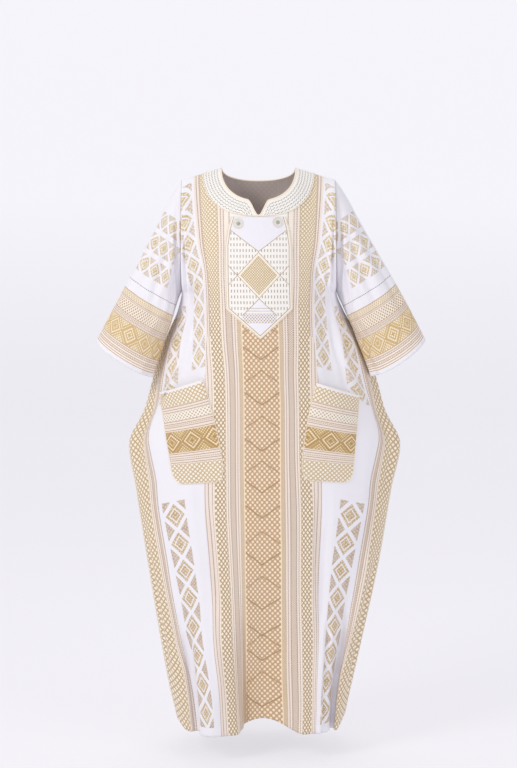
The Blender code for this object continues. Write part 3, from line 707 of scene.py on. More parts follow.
def calc(kind, *terms):
    """A Math node over fields and plain numbers."""
    tree = next(term.tree for term in terms if isinstance(term, Field))
    node = tree.nodes.new("ShaderNodeMath")
    node.operation = kind
    for socket, term in zip(node.inputs, terms):
        if isinstance(term, Field):
            tree.links.new(term.socket, socket)
        else:
            socket.default_value = term
    return Field(tree, node.outputs[0])


def size(x):
    return calc("ABSOLUTE", x)


def near(x, centre, half):
    return calc("COMPARE", x, centre, half)


def between(x, low, high):
    return calc("COMPARE", x, (low + high) / 2, (high - low) / 2)


def above(x, level):
    return calc("GREATER_THAN", x, level)


def below(x, level):
    return calc("LESS_THAN", x, level)


def both(*masks):
    result = masks[0]
    for mask in masks[1:]:
        result = calc("MULTIPLY", result, mask)
    return result


def either(*masks):
    result = masks[0]
    for mask in masks[1:]:
        result = calc("MAXIMUM", result, mask)
    return result


def zigzag(x, half_period):
    """0 at even multiples of the half period and 1 at odd ones."""
    return calc("PINGPONG", x / half_period, 1.0)


def noise(tree, place, scale, detail):
    node = tree.nodes.new("ShaderNodeTexNoise")
    node.noise_dimensions = "2D"
    node.inputs["Scale"].default_value = scale
    node.inputs["Detail"].default_value = detail
    tree.links.new(place, node.inputs["Vector"])
    return node


class Paint:
    """The colour of the cloth, laid over itself mask by mask."""

    def __init__(self, tree, colour):
        self.tree = tree
        self.colour = colour

    def over(self, mask, colour):
        node = self.tree.nodes.new("ShaderNodeMix")
        node.data_type = "RGBA"
        for socket, value in ((node.inputs[0], mask), (node.inputs[6], self.colour),
                              (node.inputs[7], colour)):
            if isinstance(value, Field):
                self.tree.links.new(value.socket, socket)
            elif isinstance(value, bpy.types.NodeSocket):
                self.tree.links.new(value, socket)
            else:
                socket.default_value = value
        self.colour = node.outputs[2]
        return self


def mixed(tree, mask, low, high):
    return Paint(tree, low).over(mask, high).colour


def diagonals(u, v, half_u, half_v):
    """Two waves that cross on a slant."""
    return (zigzag(u / half_u + v / half_v, 1.0), zigzag(u / half_u - v / half_v, 1.0))


def dots(u, v, half_u, half_v, size_of=0.62):
    """Staggered round dots; half_u and half_v are half the spacings."""
    a, b = diagonals(u, v, half_u, half_v)
    return below(a * a + b * b, size_of)


def diamonds(u, v, half_u, half_v, open_share=0.66):
    """The openings of a diagonal lattice, spaced like the dots."""
    return below(calc("MAXIMUM", *diagonals(u, v, half_u, half_v)), open_share)


def hatching(tree, u, v, low, high, step=0.0026):
    """Fine diagonal threads, crossed by finer ones."""
    a = above(zigzag(u + v, step), 0.42)
    b = above(zigzag(u - v, step), 0.20)
    return mixed(tree, both(a, b), high, low)


def stitched(v, step, share=0.45):
    """Dashes along a thread."""
    return above(zigzag(v, step), share)


# Strips of the body's cloth, by distance across from centre front.
COLUMN_EDGE = 0.0425
CHEVRONS = (0.338, 0.436, 0.546, 0.658, 0.760, 0.822, 0.937, 1.050, 1.117, 1.182,
            1.301)
PEAKS = (0.404, 0.524, 0.635, 0.744, 0.916, 1.027, 1.176, 1.272)
CHEVRON_SLOPE = 0.72
CHEVRON_HALF = 0.0020
PEAK_HALF = 0.0017
LATTICE_CELL = (0.0059, 0.0069)
LINE_HALF = 0.0011
CHEST_LINES = {"brown": (0.0650, 0.0780, 0.1338), "rose": (0.0590, 0.0845, 0.1275),
               "gold": (0.0533, 0.0909, 0.1255)}
SKIRT_LINES = {"brown": (0.1400,), "rose": (0.1300, 0.1480), "gold": ()}
SIDE_LINES = {"brown": (0.2650, 0.2768), "rose": (0.2708,),
              "gold": (0.2830, 0.2895, 0.3550)}
LINE_COLOURS = {"brown": LINE_BROWN, "rose": LINE_ROSE, "gold": LINE_GOLD}
CHEST_STRIPS = {"cream": ((0.0845, 0.1265),), "blush": ((0.0530, 0.0845), (0.1262, 0.1400)),
                "grained": ((0.0658, 0.0772),), "lattice": ((0.0917, 0.1243),)}
SKIRT_STRIPS = {"cream": ((0.1243, 0.1290),), "blush": ((0.1290, 0.1480),)}
SIDE_STRIPS = {"cream": ((0.2830, 0.4400),), "blush": ((0.2650, 0.2830),),
               "grained": ((0.2716, 0.2760),), "lattice": ((0.2908, 0.3520),)}
SKIRT_FROM = 0.41        # the strips of the skirt and of the sides start here
SKIRT_EDGE = 0.1390      # where they widen from, and how fast
SKIRT_WIDENS = 0.10
SIDE_FROM = 0.33
CHEST_TO = 0.345         # the strips beside the bib are plain above this
LATTICE_IN = 0.0917      # the chest's lattice is finer, from this line out
FINE_FROM = 0.42
FINE_SPAN = 0.22
FINE_ACROSS = 0.60
FINE_DOWN_FROM = 0.33
FINE_DOWN = 0.30
SIDE_CELL = (0.0086, 0.0078)
COLUMN_SIDE = (0.0448, 0.0530)
PATCH = (0.063, 0.134)   # the white cloth between the neck band and the bib

# Rows of lozenges on the white cloth: the row's middle and how far it leans inwards
# for each metre, half its width, the pitch, where it starts, how many there are and
# the fillings of the lozenges and of the small triangles between them.
ROW_COLUMNS = ("middle", "lean", "half", "pitch", "start", "count", "kind", "edge")
BODY_ROWS = (
    (0.166, 0.000, 0.021, 0.056, 0.030, 8, "soft", "mist"),
    (0.240, 0.000, 0.018, 0.056, 0.310, 4, "soft", "mist"),
    (0.226, 0.040, 0.029, 0.072, 0.790, 8, "gold", "grain"))
BACK_ROWS = ((0.200, 0.000, 0.026, 0.056, 0.512, 4, "gold", "grain"),)
SLEEVE_ROWS = tuple((middle, 0.000, 0.022, 0.058, 0.024, 3, "soft", "mist")
                    for middle in (0.230, 0.286, 0.342))
LOZENGE = 0.84           # a lozenge's size, its pale ring and where triangles start,
LOZENGE_RING = (0.44, 0.56)
TRIANGLE_FROM = 1.26     # as shares of the way to the next lozenge's corner


def lozenge_rows(paint, along, beside, rows, fills):
    """Regular rows of lozenges with a pale ring in each and triangles between."""
    for values in rows:
        row = dict(zip(ROW_COLUMNS, values))
        end = row["start"] + row["count"] * row["pitch"]
        half_pitch = row["pitch"] / 2
        wave = calc("PINGPONG", along - (row["start"] + half_pitch), half_pitch)
        off = size(beside + (along - row["start"]) * row["lean"] - row["middle"])
        out = wave / half_pitch + off / row["half"]
        shown = both(between(along, row["start"], end), below(off, row["half"]))
        paint.over(both(shown, below(out, LOZENGE)), fills[row["kind"]])
        paint.over(both(shown, between(out, *LOZENGE_RING)), WHITE)
        paint.over(both(shown, above(out, TRIANGLE_FROM)), fills[row["edge"]])


def brocade(tree, u, v, low, high, tint):
    """A grained filling: staggered threads in two shades, uneven from part to part."""
    place = tree.nodes.new("ShaderNodeCombineXYZ")
    tree.links.new(u.socket, place.inputs[0])
    tree.links.new(v.socket, place.inputs[1])
    patches = Field(tree, noise(tree, place.outputs[0], 55.0, 1.0).outputs[0])
    thread = mixed(tree, above(patches, 0.5), low, tint)
    fleck = Field(tree, noise(tree, place.outputs[0], 300.0, 1.0).outputs[0])
    grain = either(diamonds(u, v, 0.0056, 0.0050, 0.52), above(fleck, 0.62))
    return mixed(tree, grain, thread, high)


def woven_fills(tree, u, v):
    return {"grain": brocade(tree, u, v, srgb(190, 168, 148), srgb(228, 210, 194),
                             srgb(200, 184, 166)),
            "gold": brocade(tree, u, v, srgb(195, 166, 124), srgb(236, 218, 192),
                            srgb(200, 178, 138)),
            "soft": brocade(tree, u, v, srgb(208, 184, 138), srgb(240, 226, 200),
                            srgb(216, 198, 156)),
            "mist": brocade(tree, u, v, srgb(208, 190, 170), srgb(238, 226, 214),
                            srgb(214, 200, 184))}


def strips(across, table):
    return either(*[between(across, low, high) for low, high in table])


def paint_strips(paint, across, v, strip_table, line_table, shown):
    """Lay the strips of one part of the body, then their lines."""
    tree = paint.tree
    fills = {"cream": srgb(250, 238, 222), "blush": PINK_CREAM,
             "grained": mixed(tree, dots(across, v, 0.0027, 0.0027, 0.45),
                              srgb(206, 184, 164), srgb(244, 230, 214))}
    for kind, fill in fills.items():
        if kind in strip_table:
            paint.over(both(strips(across, strip_table[kind]), shown), fill)
    for kind, places in line_table.items():
        if places:
            lines = either(*[near(across, line, LINE_HALF) for line in places])
            paint.over(both(lines, shown, stitched(v, 0.0021, 0.30)), LINE_COLOURS[kind])


def body_pattern(face):
    """A centre column, strips beside it and at the sides, lozenges between."""
    def pattern(tree, u, v):
        across = size(u)
        paint = Paint(tree, WHITE)
        rows = BODY_ROWS if face == "front" else BODY_ROWS + BACK_ROWS
        lozenge_rows(paint, v, across, rows, woven_fills(tree, u, v))
        skirt = above(v, SKIRT_FROM)
        sides = above(v, SIDE_FROM)
        paint_strips(paint, across, v, CHEST_STRIPS, CHEST_LINES, above(v, -1.0))
        if face == "front":
            paint.over(both(strips(across, CHEST_STRIPS["grained"]), below(v, CHEST_TO)),
                       srgb(250, 240, 228))
        skirt = both(skirt, below(across, SKIRT_EDGE + (v - SKIRT_FROM) * SKIRT_WIDENS))
        paint_strips(paint, across, v, SKIRT_STRIPS, SKIRT_LINES, skirt)
        paint_strips(paint, across, v, SIDE_STRIPS, SIDE_LINES, sides)
        finer = calc("MINIMUM", calc("MAXIMUM", (FINE_FROM - v) / FINE_SPAN, 0.0), 1.0)
        fine_u = (across - LATTICE_IN) * (finer * FINE_ACROSS + 1.0)
        fine_v = v - calc("MAXIMUM", FINE_DOWN_FROM - v, 0.0) * FINE_DOWN
        paint.over(strips(across, CHEST_STRIPS["lattice"]),
                   mixed(tree, diamonds(fine_u, fine_v, *LATTICE_CELL),
                         mixed(tree, finer, srgb(188, 157, 120), OLIVE_GOLD),
                         srgb(252, 242, 222)))
        paint.over(both(strips(across, SIDE_STRIPS["lattice"]), sides),
                   mixed(tree, diamonds(across, v, *SIDE_CELL), srgb(199, 170, 130),
                         srgb(253, 242, 220)))
        paint.over(between(across, *COLUMN_SIDE),
                   mixed(tree, dots(u, v, 0.0028, 0.0028, 0.50), srgb(202, 174, 136),
                         srgb(240, 224, 198)))
        paint.over(between(across, COLUMN_EDGE, COLUMN_SIDE[0]), GLINT)
        inside = below(across, COLUMN_EDGE)
        paint.over(inside, mixed(tree, dots(u, v, *LATTICE_CELL, 0.46), GOLD, GLINT))
        dip = CHEVRON_SLOPE * (COLUMN_EDGE - across)
        falls = either(*[near(v - dip, height, CHEVRON_HALF) for height in CHEVRONS])
        rises = either(*[near(v + dip, height, PEAK_HALF) for height in PEAKS])
        paint.over(both(inside, rises), srgb(184, 148, 106))
        paint.over(both(inside, falls), srgb(178, 142, 100))
        if face == "front":
            paint.over(both(below(across, PATCH[0]), below(v, PATCH[1])), WARM_WHITE)
        return paint.colour
    return pattern


# Bands of the sleeve, by distance up from the cuff.
SLEEVE_LINES = (0.0110, 0.0162, 0.0214, 0.0266, 0.0318, 0.0370, 0.0412, 0.0920, 0.0978,
                0.1032, 0.1066, 0.1368, 0.1402, 0.1556)
SLEEVE_STITCHED = ((0.0232, 0.0248), (0.0336, 0.0352), (0.0940, 0.0958), (0.0996, 0.1014))


def diamond_band(paint, u, v, middle, pitch, half, line, lattice):
    """A row of concentric diamonds, with an X between each two."""
    wave = calc("PINGPONG", u, pitch / 2)
    out = wave / (pitch / 2) + size(v - middle) / half
    band = between(v, middle - half, middle + half)
    paint.over(band, lattice)
    marks = either(between(out, 0.84, 1.03), between(out, 0.44, 0.58), below(out, 0.20),
                   between(out, 1.22, 1.34))
    paint.over(both(band, between(out, 0.66, 0.76)), CREAM)
    paint.over(both(band, marks), line)


def sleeve_pattern(tree, u, v):
    """Sleeve: v is the distance up from the cuff, u the way round from the top."""
    paint = Paint(tree, WHITE)
    lozenge_rows(paint, size(u), v, SLEEVE_ROWS, woven_fills(tree, u, v))
    paint.over(both(near(v, 0.1815, 0.0010), stitched(u, 0.0040, 0.35)), GREY_THREAD)
    paint.over(between(v, 0.0095, 0.1560), srgb(252, 242, 231))
    paint.over(between(v, 0.1405, 0.1555),
               hatching(tree, u, v, srgb(216, 190, 150), srgb(248, 238, 218), 0.0044))
    small = mixed(tree, dots(u, v, 0.0050, 0.0047, 0.42), srgb(250, 240, 224),
                  srgb(190, 156, 116))
    paint.over(between(v, 0.1075, 0.1350), small)
    paint.over(both(strips(v, SLEEVE_STITCHED), stitched(u, 0.0028, 0.4)),
               srgb(196, 166, 136))
    lattice = mixed(tree, dots(u, v, 0.0040, 0.0037, 0.46), srgb(222, 194, 142),
                    srgb(253, 243, 222))
    diamond_band(paint, u, v, 0.0665, 0.052, 0.0245, srgb(212, 179, 116), lattice)
    paint.over(either(*[near(v, line, 0.0009) for line in SLEEVE_LINES]),
               srgb(200, 172, 146))
    return paint.colour


POCKET_LINES = (0.0445, 0.0510, 0.0570, 0.0805, 0.0865, 0.0945, 0.1015, 0.1610,
                0.1670, 0.1770, 0.1830)


def pocket_pattern(tree, u, v):
    """Pocket: v is the distance down from the mouth, u the way across."""
    paint = Paint(tree, PINK_CREAM)
    lattice = mixed(tree, diamonds(u, v, 0.0060, 0.0056), OLIVE_GOLD, IVORY)
    paint.over(either(between(v, 0.0055, 0.0430), above(v, 0.1860)), lattice)
    lozenges = mixed(tree, dots(u, v, 0.0050, 0.0046, 0.34), IVORY, srgb(186, 160, 134))
    paint.over(between(v, 0.0600, 0.0785), lozenges)
    ground = mixed(tree, dots(u, v, 0.0040, 0.0037, 0.44), srgb(196, 162, 104),
                   srgb(246, 228, 186))
    diamond_band(paint, u, v, 0.1313, 0.058, 0.0265, srgb(184, 146, 84), ground)
    paint.over(either(*[near(v, line, 0.0008) for line in POCKET_LINES]), LINE_GOLD)
    paint.over(both(strips(v, ((0.0892, 0.0914), (0.1712, 0.1734))), stitched(u, 0.0028)),
               LINE_GOLD)
    paint.over(below(v, 0.0050), WHITE)
    return paint.colour


BAND_ROW = 0.0072        # spacing of the stitched rows, and of the stitches
BAND_STITCH = 0.0088


def band_pattern(tree, u, v):
    """Neck band: v runs from the neckline (0) to the outer edge, u along it."""
    paint = Paint(tree, WARM_WHITE)
    row = zigzag(v, BAND_ROW / 2)
    odd = calc("FLOOR", calc("FLOORED_MODULO", v / BAND_ROW + 0.5, 2.0))
    along = u + odd * (BAND_STITCH / 2) + v * 0.35
    dash = both(above(row, 0.54), below(zigzag(along, BAND_STITCH / 2), 0.38))
    paint.over(both(dash, between(v, 0.0080, 0.0480)), srgb(140, 134, 120))
    paint.over(below(v, 0.0045), IVORY)
    return paint.colour



# The bib's figure, in its own plane: places along Z below the shoulder line.
BIB_V_APEX = -0.2055
BIB_V_SLOPE = 0.76
DIAMOND_Z = -0.2630
DIAMOND_HALF = (0.0515, 0.0555)
DIAMOND_INNER = 0.85
TRIANGLE_TIP = -0.3195
TRIANGLE_BASE = -0.3495
ROWS_END = -0.3790
TRIANGLE_ROWS = ((-0.3432, -0.3422), (-0.3498, -0.3488))
BIB_SIDE = 0.0800
BIB_CORNER_Z = -0.3450
BORDER_IN = 0.0062


def bib_pattern(tree, u, v):
    """Bib: a white shield, a lattice diamond, rows of dashes and a white tip."""
    across = size(u)
    paint = Paint(tree, WARM_WHITE)
    row = zigzag(v, 0.0070)
    dash = both(above(row, 0.50), below(zigzag(u, 0.0037), 0.30))
    paint.over(dash, srgb(174, 160, 138))
    shield = above(v, BIB_V_APEX + across * BIB_V_SLOPE)
    paint.over(shield, WHITE)
    weave = both(shield, dots(u, v, 0.0016, 0.0016, 0.42))
    paint.over(weave, srgb(238, 236, 246))
    paint.over(near(v - across * BIB_V_SLOPE, BIB_V_APEX, 0.0009), LINE_GOLD)
    out = across / DIAMOND_HALF[0] + size(v - DIAMOND_Z) / DIAMOND_HALF[1]
    reach_down = (v - DIAMOND_Z) / DIAMOND_HALF[1]
    line_a = near(size(across / DIAMOND_HALF[0] - 1.0) - size(reach_down), 0.0, 0.018)
    fields = both(line_a, below(v, BIB_V_APEX), above(v, BIB_CORNER_Z - 0.022))
    paint.over(fields, LINE_GOLD)
    reach_out = TRIANGLE_TIP - v
    paint.over(both(below(across - reach_out, 0.0), above(v, TRIANGLE_BASE)), WHITE)
    legs = both(near(across - reach_out, 0.0, 0.0010), above(v, TRIANGLE_BASE - 0.012))
    paint.over(legs, LINE_GOLD)
    paint.over(both(strips(v, TRIANGLE_ROWS), below(across, 0.034)), LINE_GOLD)
    paint.over(both(below(v, TRIANGLE_BASE - 0.0045), below(across, 0.042)), WHITE)
    rows = both(between(v, ROWS_END, TRIANGLE_BASE - 0.006), below(across, 0.040),
                dots(u, v, 0.0036, 0.0040, 0.42))
    paint.over(rows, srgb(184, 156, 106))
    paint.over(below(v, ROWS_END), WHITE)
    paint.over(legs, LINE_GOLD)
    paint.over(below(out, 1.0), IVORY)
    fine = mixed(tree, dots(u, v, 0.0031, 0.0034, 0.50), srgb(202, 172, 116), IVORY)
    paint.over(below(out, DIAMOND_INNER), srgb(194, 162, 108))
    paint.over(below(out, DIAMOND_INNER - 0.035), fine)
    paint.over(near(out, 1.0, 0.016), LINE_GOLD)
    half = calc("MINIMUM", BIB_SIDE, 0.0745 + (-0.152 - v) * 0.1375)
    to_side = calc("MINIMUM", half, 0.066 + (-0.1215 - v) * 0.2787) - across
    to_point = (v - BIB_CORNER_Z) * 0.741 + (BIB_SIDE - across) * 0.671
    edge = calc("MINIMUM", to_side, to_point)
    paint.over(below(edge, BORDER_IN + 0.0008), IVORY)
    paint.over(near(edge, BORDER_IN, 0.0008), LINE_GOLD)
    paint.over(below(edge, 0.0012), LINE_GOLD)
    return paint.colour


# Two tones wound along a cord: partly the cord's own two threads, partly painted shade in the
# grooves between its twisted strands.
def cord_threads_and_twist_shade(first, second, pitch):
    def pattern(tree, u, v):
        twist = above(zigzag(v + u * 1.2, pitch), 0.5)
        return mixed(tree, twist, first, second)
    return pattern


# ---------------------------------------------------------------- materials
def cloth_material(name, pattern, fade=0.0, thread=0.0010, roughness=0.72, relief=0.00035):
    """Woven cloth: its pattern, a thread-fine weave, soft unevenness and sheen."""
    material = bpy.data.materials.new(name)
    material.use_nodes = True
    tree = material.node_tree
    shader = tree.nodes["Principled BSDF"]
    place = tree.nodes.new("ShaderNodeUVMap")
    place.uv_map = "Cloth"
    split = tree.nodes.new("ShaderNodeSeparateXYZ")
    tree.links.new(place.outputs[0], split.inputs[0])
    u = Field(tree, split.outputs[0])
    v = Field(tree, split.outputs[1])
    fuzz = noise(tree, place.outputs[0], 820.0, 1.0)
    shift = (Field(tree, fuzz.outputs[0]) - 0.5) * 0.0009
    colour = pattern(tree, u + shift, v + shift)
    if fade:
        colour = mixed(tree, fade, colour, BLUSH)
    cloudy = Field(tree, noise(tree, place.outputs[0], 14.0, 3.0).outputs[0])
    tone = mixed(tree, calc("MULTIPLY", cloudy, 0.10), colour, srgb(228, 222, 228))
    tree.links.new(tone, shader.inputs["Base Color"])
    warp = calc("SINE", u * (2 * np.pi / thread))
    weft = calc("SINE", v * (2 * np.pi / thread))
    gold = tree.nodes.new("ShaderNodeSeparateColor")
    tree.links.new(tone, gold.inputs[0])
    height = (warp * weft) * (0.12 * thread) - Field(tree, gold.outputs[2]) * relief
    soft = Field(tree, noise(tree, place.outputs[0], 30.0, 2.0).outputs[0])
    height = height + soft * 0.0022
    bump = tree.nodes.new("ShaderNodeBump")
    bump.inputs["Strength"].default_value = 0.55
    bump.inputs["Distance"].default_value = 1.0
    tree.links.new(height.socket, bump.inputs["Height"])
    tree.links.new(bump.outputs[0], shader.inputs["Normal"])
    rough = calc("ADD", calc("MULTIPLY", Field(tree, gold.outputs[2]), 0.16), roughness - 0.12)
    tree.links.new(rough.socket, shader.inputs["Roughness"])
    shader.inputs["Sheen Weight"].default_value = 0.18
    shader.inputs["Sheen Roughness"].default_value = 0.45
    shader.inputs["Specular IOR Level"].default_value = 0.32
    return material


def plain_pattern(colour):
    def pattern(tree, u, v):
        return mixed(tree, dots(u, v, 0.0016, 0.0016, 0.4), colour, WHITE)
    return pattern


CLOTH = {face: cloth_material("robe_brocade_" + face, body_pattern(face))
         for face in ("front", "back")}
# The wrong side's pattern is fainter than the right side's. The robe's wrong side is made
# paler still, as painted light that lifts the shade inside the panels.
CLOTH_BACK = cloth_material("robe_brocade_reverse", body_pattern("back"), fade=0.86)
SLEEVE_FACE = cloth_material("sleeve_brocade", sleeve_pattern)
SLEEVE_BACK = cloth_material("sleeve_brocade_reverse", sleeve_pattern, fade=0.55)
POCKET_FACE = cloth_material("pocket_brocade", pocket_pattern)
BAND_FACE = cloth_material("neck_band_embroidery", band_pattern, roughness=0.78,
                           relief=0.0006)
BIB_FACE = cloth_material("bib_embroidery", bib_pattern, roughness=0.76, relief=0.0006)
LINING = cloth_material("plain_reverse", plain_pattern(BLUSH))
# The wound stripes of the cords and eyelets are partly their threads' own tones and partly
# painted shade of the twist.
PALE_CORD = cloth_material("ivory_cord", cord_threads_and_twist_shade(IVORY, CREAM, 0.0020), roughness=0.7)
WHITE_CORD = cloth_material("white_edge", plain_pattern(IVORY))
EYELET_THREAD = cloth_material("eyelet_thread",
                               cord_threads_and_twist_shade(srgb(214, 212, 192), IVORY, 0.0014))
EYELET_CORE = cloth_material(
    "eyelet_core", cord_threads_and_twist_shade(srgb(168, 170, 138), srgb(204, 204, 172), 0.0012))


# ---------------------------------------------------------------- panels
def panel(face):
    """One panel's right side, its normals and its cloth coordinates."""
    outward = -1 if face == "front" else 1
    half = np.concatenate([
        np.linspace(0.0, 0.30, 61),
        0.30 + (SEAM - 0.30) * np.sin(np.linspace(0.0, np.pi / 2, 22))[1:]])
    share = np.linspace(0.0, 1.0, 45) ** 1.5
    low = np.linspace(0.0, 1.0, 184)[1:]
    fold_at = 1 - HEM_FOLD / (UNDERARM - HEM)
    low = np.sort(np.concatenate([low, [fold_at - 0.0008, fold_at + 0.0006]]))
    parts = []
    for side, lines in (("left", half[:0:-1]), ("right", half)):
        edge = np.where(
            lines < NECK_LINE,
            neck_height(reach(side, lines, np.full_like(lines, NECK_LEVEL)), face),
            shoulder_height(reach(side, lines, np.zeros_like(lines))))
        top = edge + share[:, None] * (UNDERARM - edge)
        hem = hem_height(face, side, lines)
        z = UNDERARM + low[:, None] * (HEM - UNDERARM) + np.zeros_like(lines)
        fall = (HEM_TAPER_FROM - hem) / (HEM_TAPER_FROM - HEM)
        z = np.where(z < HEM_TAPER_FROM, HEM_TAPER_FROM - (HEM_TAPER_FROM - z) * fall, z)
        z = np.concatenate([top, z])
        line = np.broadcast_to(lines, z.shape)
        flat_line = line.ravel()
        flat_z = z.ravel()
        points = cloth_place(face, side, flat_line, flat_z)
        creases = FRONT_CREASES if face == "front" else BACK_CREASES
        lift = crease_height(creases, side, flat_line, flat_z)
        lift = lift * ease((SEAM - flat_line) / 0.02)
        lift += HEM_THICK * ease((HEM_FOLD - (flat_z - np.broadcast_to(hem, z.shape).ravel()))
                                 / 0.002 + 0.5)
        sign = -1 if side == "left" else 1
        row = woven_row(flat_line, flat_z)
        uv = np.stack([sign * woven_line(flat_line, row), row], -1)
        parts.append((points.reshape(z.shape + (3,)), lift.reshape(z.shape),
                      uv.reshape(z.shape + (2,))))
    grid, lift, uv = (np.concatenate([a, b], axis=1) for a, b in zip(*parts))
    normal = grid_normals(grid) * outward
    under = len(share) - 1
    columns = np.concatenate([-half[:0:-1], half])
    shoulder = np.abs(columns) >= NECK_LINE
    grid = grid + normal * lift[..., None]
    normal[0, shoulder, 1] = 0.0
    normal[0, shoulder, 2] = 1.0
    normal[under:, 0, 1] = normal[under:, -1, 1] = 0.0
    normal[:under + 1, 0, 0] = np.minimum(normal[:under + 1, 0, 0], 0.0)
    normal[:under + 1, -1, 0] = np.maximum(normal[:under + 1, -1, 0], 0.0)
    normal = unit(normal)
    limit = SEAM_GAP / 2
    grid[0, shoulder, 1] = outward * limit
    for column in (0, -1):
        side_y = grid[under:, column, 1]
        grid[under:, column, 1] = side_y + outward * limit
    return grid, normal, uv


def rest_on_root(obj, *nodes, slot_name):
    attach(obj, "root")
    if nodes:
        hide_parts(*nodes)


fronts = {}
for face in ("front", "back"):
    grid, normal, uv = panel(face)
    fronts[face] = grid
    obj = shell(face + "_cloth", grid, grid - normal * SHELL, uv,
                [CLOTH[face], CLOTH_BACK], flip=face == "front")
    rest_on_root(obj, face, slot_name="woven_cloth")


# ---------------------------------------------------------------- sleeves
def sleeve(side):
    sign = -1 if side == "left" else 1
    table = SLEEVES[side]
    stations = np.linspace(0.0, 1.0, 96)
    stations = np.sort(np.append(stations, 0.972))
    size_at = {name: smooth_through(column_of(table, SLEEVE_COLUMNS, "along"),
                                    column_of(table, SLEEVE_COLUMNS, name), stations)
               for name in SLEEVE_COLUMNS[1:]}
    theta = np.linspace(0.0, 2 * np.pi, 112, endpoint=False)
    share = (1 + np.cos(theta)) / 2
    ahead = np.where(theta > np.pi, 1.0, 0.0)
    behind = 1 - ahead
    bulge = armhole_bulge(share)
    across = np.stack([size_at["low_x"] - size_at["top_x"],
                       size_at["low_z"] - size_at["top_z"]], -1)
    outward = np.stack([-across[:, 1], across[:, 0]], -1) / np.hypot(*across.T)[:, None]
    drop = size_at["front_drop"][:, None] * bulge * ahead
    x = size_at["top_x"][:, None] + share * across[:, :1] + outward[:, :1] * drop
    z = size_at["top_z"][:, None] + share * across[:, 1:] + outward[:, 1:] * drop
    y = size_at["mid_y"][:, None] + (behind - ahead) * size_at["half"][:, None] * bulge
    grid = np.stack([sign * x, y, z], -1)
    edge_top = shoulder_height(reach(side, np.array([SEAM]), np.array([0.0])))[0]
    level = edge_top + share * (UNDERARM - edge_top)
    rim = np.full_like(level, SEAM)
    armhole = np.where(ahead[:, None] > 0, cloth_place("front", side, rim, level),
                       cloth_place("back", side, rim, level))
    armhole[:, 0] += sign * SEAM_GAP
    settle = (1 - ease(stations / 0.07))[:, None, None]
    grid = grid + settle * (armhole - grid[0])
    normal = grid_normals(grid, closed=True)
    if np.sum(normal * (grid - grid.mean(axis=1, keepdims=True))) < 0:
        normal = -normal
    from_top = np.abs(theta - np.pi) / np.pi
    lift = np.zeros(grid.shape[:2])
    for row in SLEEVE_CREASES[side]:
        crease = dict(zip(SLEEVE_CREASE_COLUMNS, row))
        faced = ahead if crease["face"] == "front" else behind
        span = crease["along_out"] - crease["along_in"]
        along = (stations - crease["along_in"]) / span
        centre = crease["around_in"] + np.clip(along, 0, 1) * (
            crease["around_out"] - crease["around_in"])
        away = (from_top[None, :] - centre[:, None]) / crease["half"]
        open_end = crease["along_out"] > 0.95
        taper = crease_taper(along, open_end) * (along > 0)
        lift += crease["depth"] * taper[:, None] * crease_shape(away) * faced
    tuck = (swell((stations - TUCK_ALONG) / TUCK_SPREAD_ALONG)[:, None]
            * swell((from_top - TUCK_AROUND) / TUCK_SPREAD_AROUND) * ahead)
    lift = lift * ease(stations / 0.10)[:, None] - TUCK_DEPTH * tuck
    cuff_line = np.array([across[-1, 0] * sign, 0.0, across[-1, 1]])
    cuff_line /= np.linalg.norm(cuff_line)
    up = np.array([-cuff_line[2], 0.0, cuff_line[0]])
    if up[2] < 0:
        up = -up
    corner = np.array([sign * size_at["top_x"][-1], 0.0, size_at["top_z"][-1]])
    from_cuff = (grid - corner) @ up + drop
    lift += HEM_THICK * ease((0.0085 - from_cuff) / 0.002 + 0.5)
    grid = grid + normal * lift[..., None]
    step = np.linalg.norm(np.roll(grid, -1, axis=1) - grid, axis=-1)
    around = np.concatenate([np.zeros((len(grid), 1)), np.cumsum(step, axis=1)], axis=1)
    top = int(np.argmin(np.abs(theta - np.pi)))
    around -= around[:, top:top + 1]
    from_cuff = np.concatenate([from_cuff, from_cuff[:, :1]], axis=1)
    uv = np.stack([around, np.maximum(from_cuff, 0.0)], -1)
    normal[0, :, 0] = sign * np.minimum(sign * normal[0, :, 0], 0.0)
    normal = unit(normal)
    obj = shell("sleeve_%s_cloth" % side, grid, grid - normal * SHELL, uv,
                [SLEEVE_FACE, SLEEVE_BACK], closed=True, flip=side == "left")
    rest_on_root(obj, "sleeve_" + side, slot_name="woven_cloth")


for side in ("left", "right"):
    sleeve(side)


# ---------------------------------------------------------------- laid-on pieces
def outward_normals(grid, outward):
    normal = grid_normals(grid)
    if np.sum(normal[..., 1]) * outward < 0:
        normal = -normal
    return normal


def band_curves(face):
    """Inner and outer edge of the neck band, as (x, z) at the same steps."""
    drop = NECK_DROP if face == "front" else NECK_DROP_BACK
    out_drop = BAND_DROP if face == "front" else BAND_DROP_BACK
    steps = (1 - np.cos(np.linspace(0.0, np.pi, 181))) / 2
    start = 0.0
    for _ in range(40):
        angle = np.pi * start
        x = BAND_REACH * np.cos(angle) ** (2 / BAND_ROUND)
        rise = -shoulder_height(x) / out_drop
        start = np.arcsin(rise ** (BAND_ROUND / 2)) / np.pi
    angle = np.pi * steps
    inner_x = NECK_SIDE * np.sign(np.cos(angle)) * np.abs(np.cos(angle)) ** (2 / NECK_ROUND)
    inner_z = -drop * np.abs(np.sin(angle)) ** (2 / NECK_ROUND)
    if face == "front":
        inner_z -= NOTCH_DROP * swell(inner_x / NOTCH_HALF)
    angle = np.pi * (start + steps * (1 - 2 * start))
    outer_x = BAND_REACH * np.sign(np.cos(angle)) * np.abs(np.cos(angle)) ** (2 / BAND_ROUND)
    outer_z = -out_drop * np.abs(np.sin(angle)) ** (2 / BAND_ROUND)
    return (inner_x, inner_z), (outer_x, outer_z)


